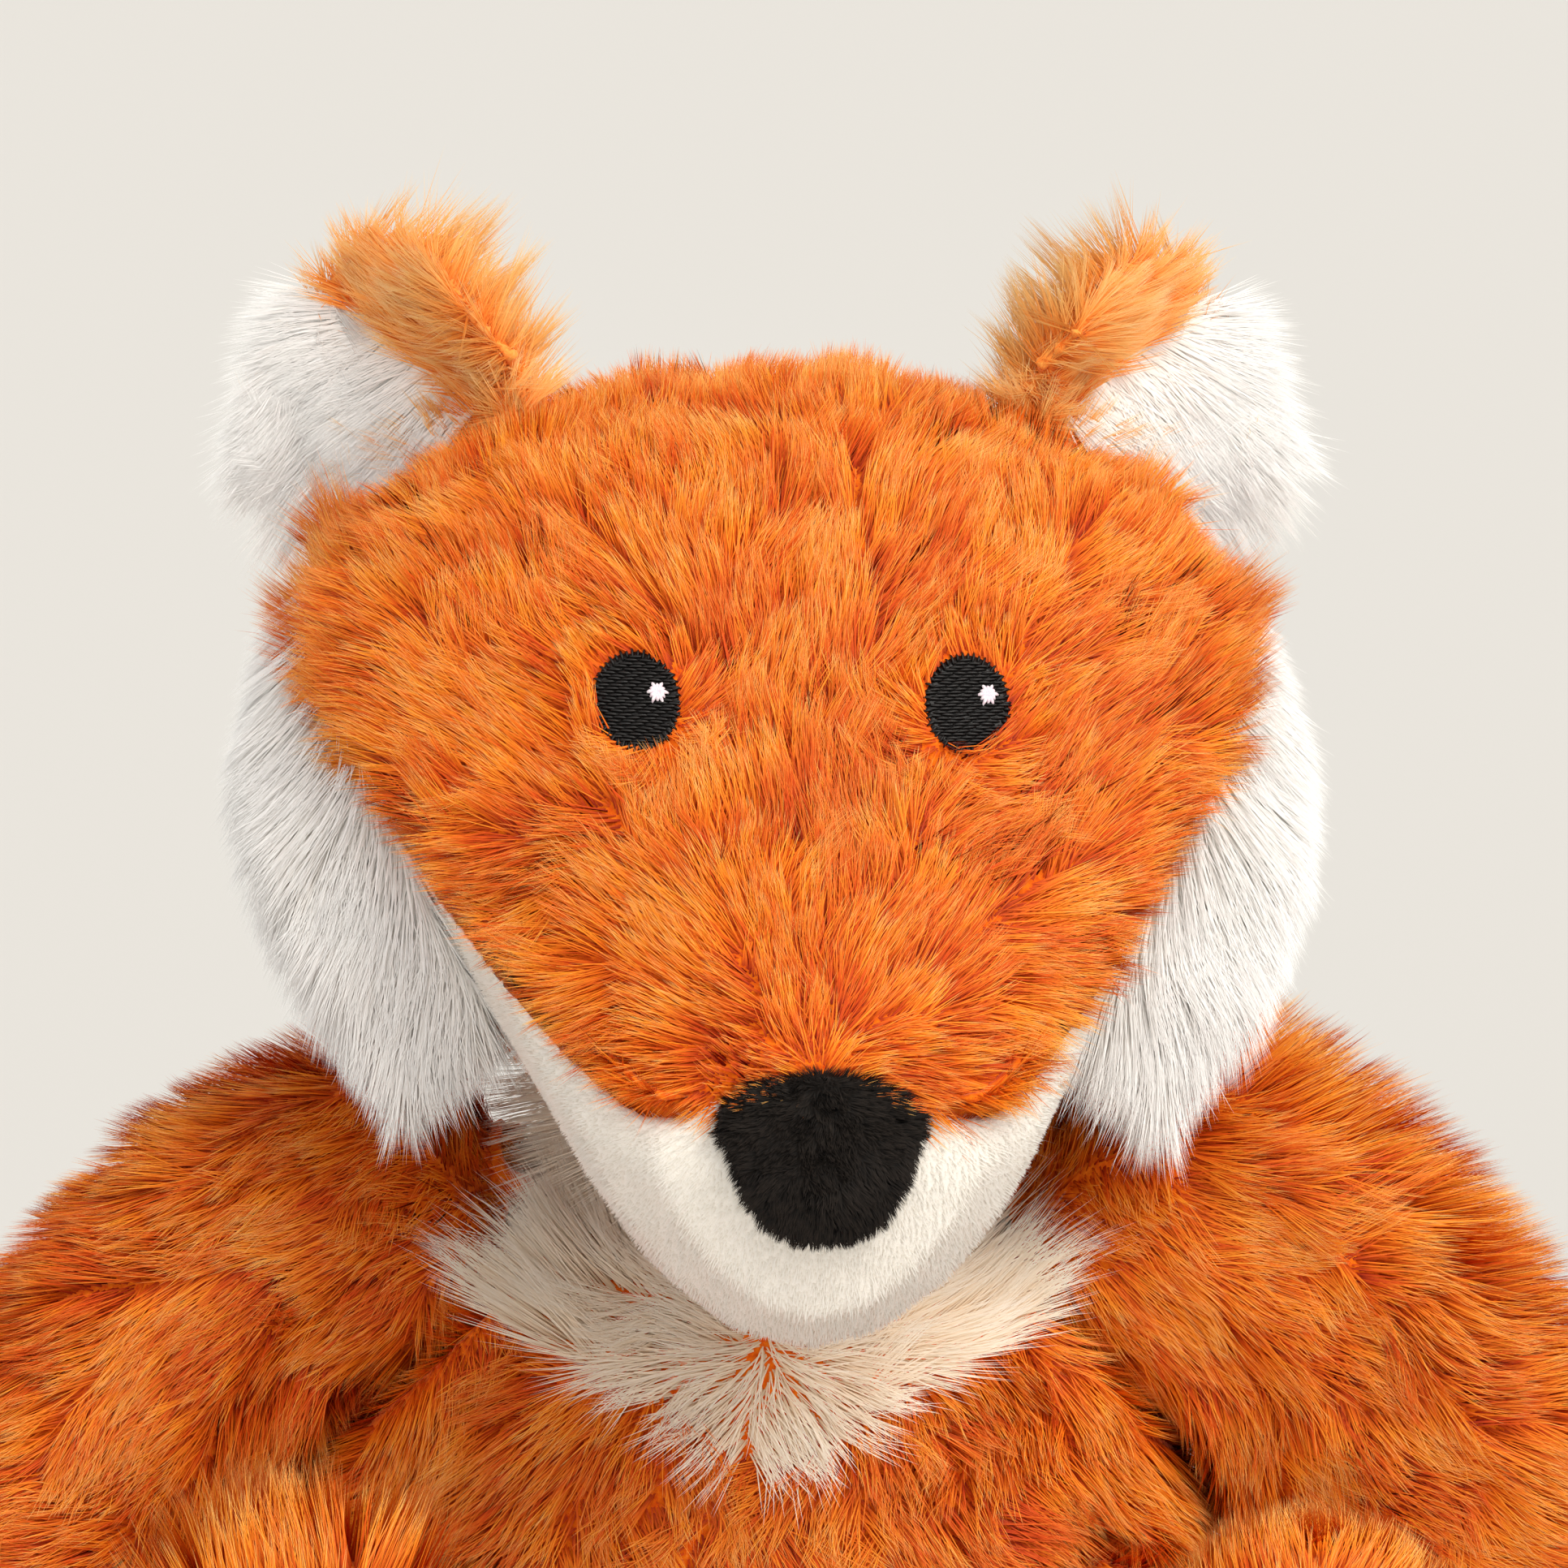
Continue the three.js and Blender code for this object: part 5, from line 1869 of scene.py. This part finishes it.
@dataclass
class Arm:
    """An arm with its pile lying from the shoulder to the hand."""

    salon: Salon
    word: str
    side: int
    ruffled: float
    ground_reach: float = 0.6

    def build(self) -> None:
        """Builds the arm."""
        nodes = [f"arm_cover_{self.word}", f"arm_filling_{self.word}"]
        skin = skin_of(nodes, 2.6 * MM, 12)
        outer = skin.points
        free = skin.freedom("torso_cover", f"leg_cover_{self.word}")
        fluffy = self.ruffled * eased(self.side * skin.normals[:, 0] + 0.9 * skin.normals[:, 2], 0.4, 1.1)
        skin.shrink(skin.depths(DEPTH) * at_least(SEAM_DEPTH, free) * (1 - 0.9 * fluffy), 6)
        shoulder = joint_place(f"arm_raise_{self.word}")
        low, high = corners(nodes[0])
        far = max(abs(low[0]), abs(high[0]))
        hand = vec(self.side * (far - 28 * MM), low[1] + 28 * MM, low[2] + 26 * MM)
        axis = unit(hand - shoulder)
        along = (outer - shoulder) @ axis
        off = outer - shoulder - along[:, None] * axis
        body = f"arm_{self.word}"
        outside = vec(self.side * 1, 0, 0.35)
        early = (1 - eased(along, 0.0, 50 * MM))[:, None]
        above = eased(outer[:, 2], shoulder[2], shoulder[2] + 14 * MM)
        inner = eased(-self.side * skin.normals[:, 0], 0.2, 0.8) * above
        comb = axis + (0.3 + 0.5 * early) * outside + 0.15 * unit(off)
        comb = unit(comb) * (1 - 0.8 * inner[:, None]) + inner[:, None] * vec(-self.side * 0.2, -0.3, 0.8)
        dress(skin.object(f"{body}_skin"), body, ORANGE.cloth(), nodes[:1])
        ground = eased(outer[:, 2], low[2], low[2] + 12 * MM)
        reach = at_least(self.ground_reach, ground) * (at_least(SEAM_REACH, free) + 0.4 * fluffy)
        # Random patches, plus a lighter arm on the key lamp's side (+X): painted light.
        tone = patches(outer, 0.2) + 0.04 + 0.08 * self.side
        comb = swirled(comb, skin, 38 * MM, 0.3)
        plant(skin, comb, reach=reach, mess=0.3, tone=tone, lift=0.5 * fluffy)
        self.salon.grow(f"arm_pile_{self.word}", skin, ARM_PILE, ORANGE, body)
        Filling(nodes[1], body).build()


@dataclass
class Leg:
    """A leg with an upright foot."""

    salon: Salon
    word: str
    side: int
    ground_reach: float = 0.4

    def build(self) -> None:
        """Builds the leg."""
        nodes = [f"leg_cover_{self.word}", f"leg_filling_{self.word}"]
        skin = skin_of(nodes, 2.6 * MM, 12)
        outer = skin.points
        free = skin.freedom("torso_cover", f"arm_cover_{self.word}")
        skin.shrink(skin.depths(DEPTH) * at_least(SEAM_DEPTH, free), 6)
        hip = joint_place(f"leg_swing_{self.word}")
        low, high = corners(nodes[0])
        far = max(abs(low[0]), abs(high[0]))
        foot = vec(self.side * (far - 31 * MM), low[1] + 21 * MM, 45 * MM)
        axis = unit(foot - hip)
        on_foot = (1 - eased(outer[:, 1], low[1] + 34 * MM, low[1] + 52 * MM))[:, None]
        spread = unit((outer - foot) * vec(1, 0.4, 1))
        comb = axis * (1 - on_foot) + on_foot * (0.6 * UP + 0.9 * spread)
        body = f"leg_{self.word}"
        dress(skin.object(f"{body}_skin"), body, ORANGE.cloth(), nodes[:1])
        ground = eased(outer[:, 2], 0.0, 12 * MM)
        reach = at_least(self.ground_reach, ground) * at_least(SEAM_REACH, free)
        crest = on_foot[:, 0] * eased(skin.normals[:, 2], -0.2, 0.5) * (0.5 - 0.5 * self.side)
        # The feet are made lighter: painted light, for the strong light falling on them.
        plant(
            skin, swirled(comb, skin, 36 * MM, 0.3), outer[:, 2] - 1.5 * MM, reach * (1 + 0.4 * crest),
            tone=0.16 * on_foot[:, 0], lift=0.5 * crest,
        )
        self.salon.grow(f"leg_pile_{self.word}", skin, LEG_PILE, ORANGE, body)
        Filling(nodes[1], body).build()


@dataclass
class Tail:
    """The tail with its white tip."""

    salon: Salon
    ground_reach: float = 0.45

    def build(self) -> None:
        """Builds the tail."""
        nodes = ["tail_cover", "tail_tip", "tail_filling"]
        skin = skin_of(nodes, 2.4 * MM, 12)
        outer = skin.points
        white = skin.nearness("tail_cover") - skin.nearness("tail_tip")
        skin.shrink(skin.depths(DEPTH), 6)
        root = joint_place("tail_swing")
        low, high = corners("tail_tip")
        tip = vec(0.0, high[1], (low[2] + high[2]) / 2)
        axis = unit(tip - root)
        centre = root + ((outer - root) @ axis)[:, None] * axis
        comb = swirled(axis + 0.2 * unit(outer - centre), skin, 36 * MM, 0.3)
        dress(skin.object("tail_skin"), "tail", ORANGE.cloth(), nodes[:2])
        ground = at_least(self.ground_reach, eased(outer[:, 2], 0.0, 16 * MM))
        plant(skin, comb, 0.5 * MM - white, ground)
        self.salon.grow("tail_pile", skin, TAIL_PILE, ORANGE, "tail")
        plant(skin, comb, white + 0.5 * MM, ground * 0.8)
        self.salon.grow("tail_tip_pile", skin, TAIL_TIP_PILE, WHITE, "tail")
        Filling("tail_filling", "tail").build()


@dataclass(frozen=True)
class Studio:
    """The photograph's view: camera, plain floor and soft light."""

    azimuth: float = -5.0
    elevation: float = 8.0
    roll: float = 1.2
    distance: float = 900 * MM
    view: float = 222.2 * MM
    aim_drop: float = 10 * MM
    frame_size: float = 1932.0
    aim_pixel: tuple[float, float] = (986.0, 950.0)
    backdrop: tuple[int, int, int] = (235, 231, 223)
    ground: tuple[int, int, int] = (217, 215, 211)
    sky: tuple[float, float, float, float] = (1.0, 0.985, 0.96, 1.0)
    sky_strength: float = 0.74

    def build(self) -> None:
        """Makes the camera, the floor, the world and the lamps."""
        self.camera()
        self.floor()
        self.world()
        self.sun("key", (0.46, -0.72, 0.8), strength=1.9, softness=36.0, colour=(255, 250, 242))
        self.sun("fill", (-0.2, -1.0, -0.06), strength=1.25, softness=60.0, colour=(255, 252, 248))

    def camera(self) -> None:
        """Sets the camera up as the photograph saw the fox."""
        aim = (middle("eye_right") + middle("eye_left")) / 2 + self.aim_drop * DOWN
        turn, lift, tilt = (math.radians(a) for a in (self.azimuth, self.elevation, self.roll))
        look = vec(-math.sin(turn) * math.cos(lift), math.cos(turn) * math.cos(lift), -math.sin(lift))
        right = unit(np.cross(look, UP))
        up = np.cross(right, look)
        across = math.cos(tilt) * right + math.sin(tilt) * up
        above = -math.sin(tilt) * right + math.cos(tilt) * up
        data = bpy.data.cameras.new("camera")
        data.lens = data.sensor_width * self.distance / self.view
        data.shift_x = (self.frame_size / 2 - self.aim_pixel[0]) / self.frame_size
        data.shift_y = (self.aim_pixel[1] - self.frame_size / 2) / self.frame_size
        data.clip_start, data.clip_end = 0.05, 60
        camera = added("camera", data)
        turned = Matrix([across, above, -look]).transposed().to_4x4()
        camera.matrix_world = Matrix.Translation(aim - look * self.distance) @ turned
        bpy.context.scene.camera = camera

    def floor(self) -> None:
        """Makes the plain pale floor."""
        mesh = bpy.data.meshes.new("floor")
        half = 20.0
        places = [(-half, -half, 0), (half, -half, 0), (half, half, 0), (-half, half, 0)]
        mesh.from_pydata(places, [], [(0, 1, 2, 3)])
        floor = added("floor", mesh)
        shader = Shader("floor", 0.9, 0.0, 0.1)
        shader.surface.inputs["Base Color"].default_value = linear(self.ground)
        mesh.materials.append(shader.material)

    def world(self) -> None:
        """Lights the fox evenly, and shows the backdrop's colour to the camera."""
        world = bpy.data.worlds.new("world")
        bpy.context.scene.world = world
        world.use_nodes = True
        nodes, links = world.node_tree.nodes, world.node_tree.links
        light = nodes["Background"]
        light.inputs["Color"].default_value = self.sky
        light.inputs["Strength"].default_value = self.sky_strength
        seen = nodes.new("ShaderNodeBackground")
        seen.inputs["Color"].default_value = linear(self.backdrop)
        path = nodes.new("ShaderNodeLightPath")
        mix = nodes.new("ShaderNodeMixShader")
        links.new(path.outputs["Is Camera Ray"], mix.inputs[0])
        links.new(light.outputs[0], mix.inputs[1])
        links.new(seen.outputs[0], mix.inputs[2])
        links.new(mix.outputs[0], nodes["World Output"].inputs["Surface"])
        bpy.context.scene.view_settings.view_transform = "Standard"

    @staticmethod
    def sun(name: str, towards: tuple, strength: float, softness: float, colour: tuple) -> None:
        """Adds a far soft lamp.

        Args:
            name: Its name.
            towards: The direction from the fox to it.
            strength: Its strength.
            softness: Its angle in degrees.
            colour: Its display colour.
        """
        data = bpy.data.lights.new(name, "SUN")
        data.energy = strength
        data.angle = math.radians(softness)
        data.color = linear(colour)[:3]
        lamp = added(name, data)
        back = unit(np.array(towards, float))
        side = unit(np.cross(UP, back))
        lamp.matrix_world = Matrix([side, np.cross(back, side), back]).transposed().to_4x4()


def main() -> None:
    """Builds the fox around the frame."""
    logging.basicConfig(level=logging.INFO, format="%(message)s")
    Studio().build()
    salon = Salon()
    Torso(salon).build()
    Neck(salon).build()
    Head(salon).build()
    for word, side in SIDES:
        Ear(salon, word, side).build()
        Arm(salon, word, side, 0.6 + 0.4 * side).build()
        Leg(salon, word, side).build()
    Tail(salon).build()


if __name__ == "__main__":
    main()
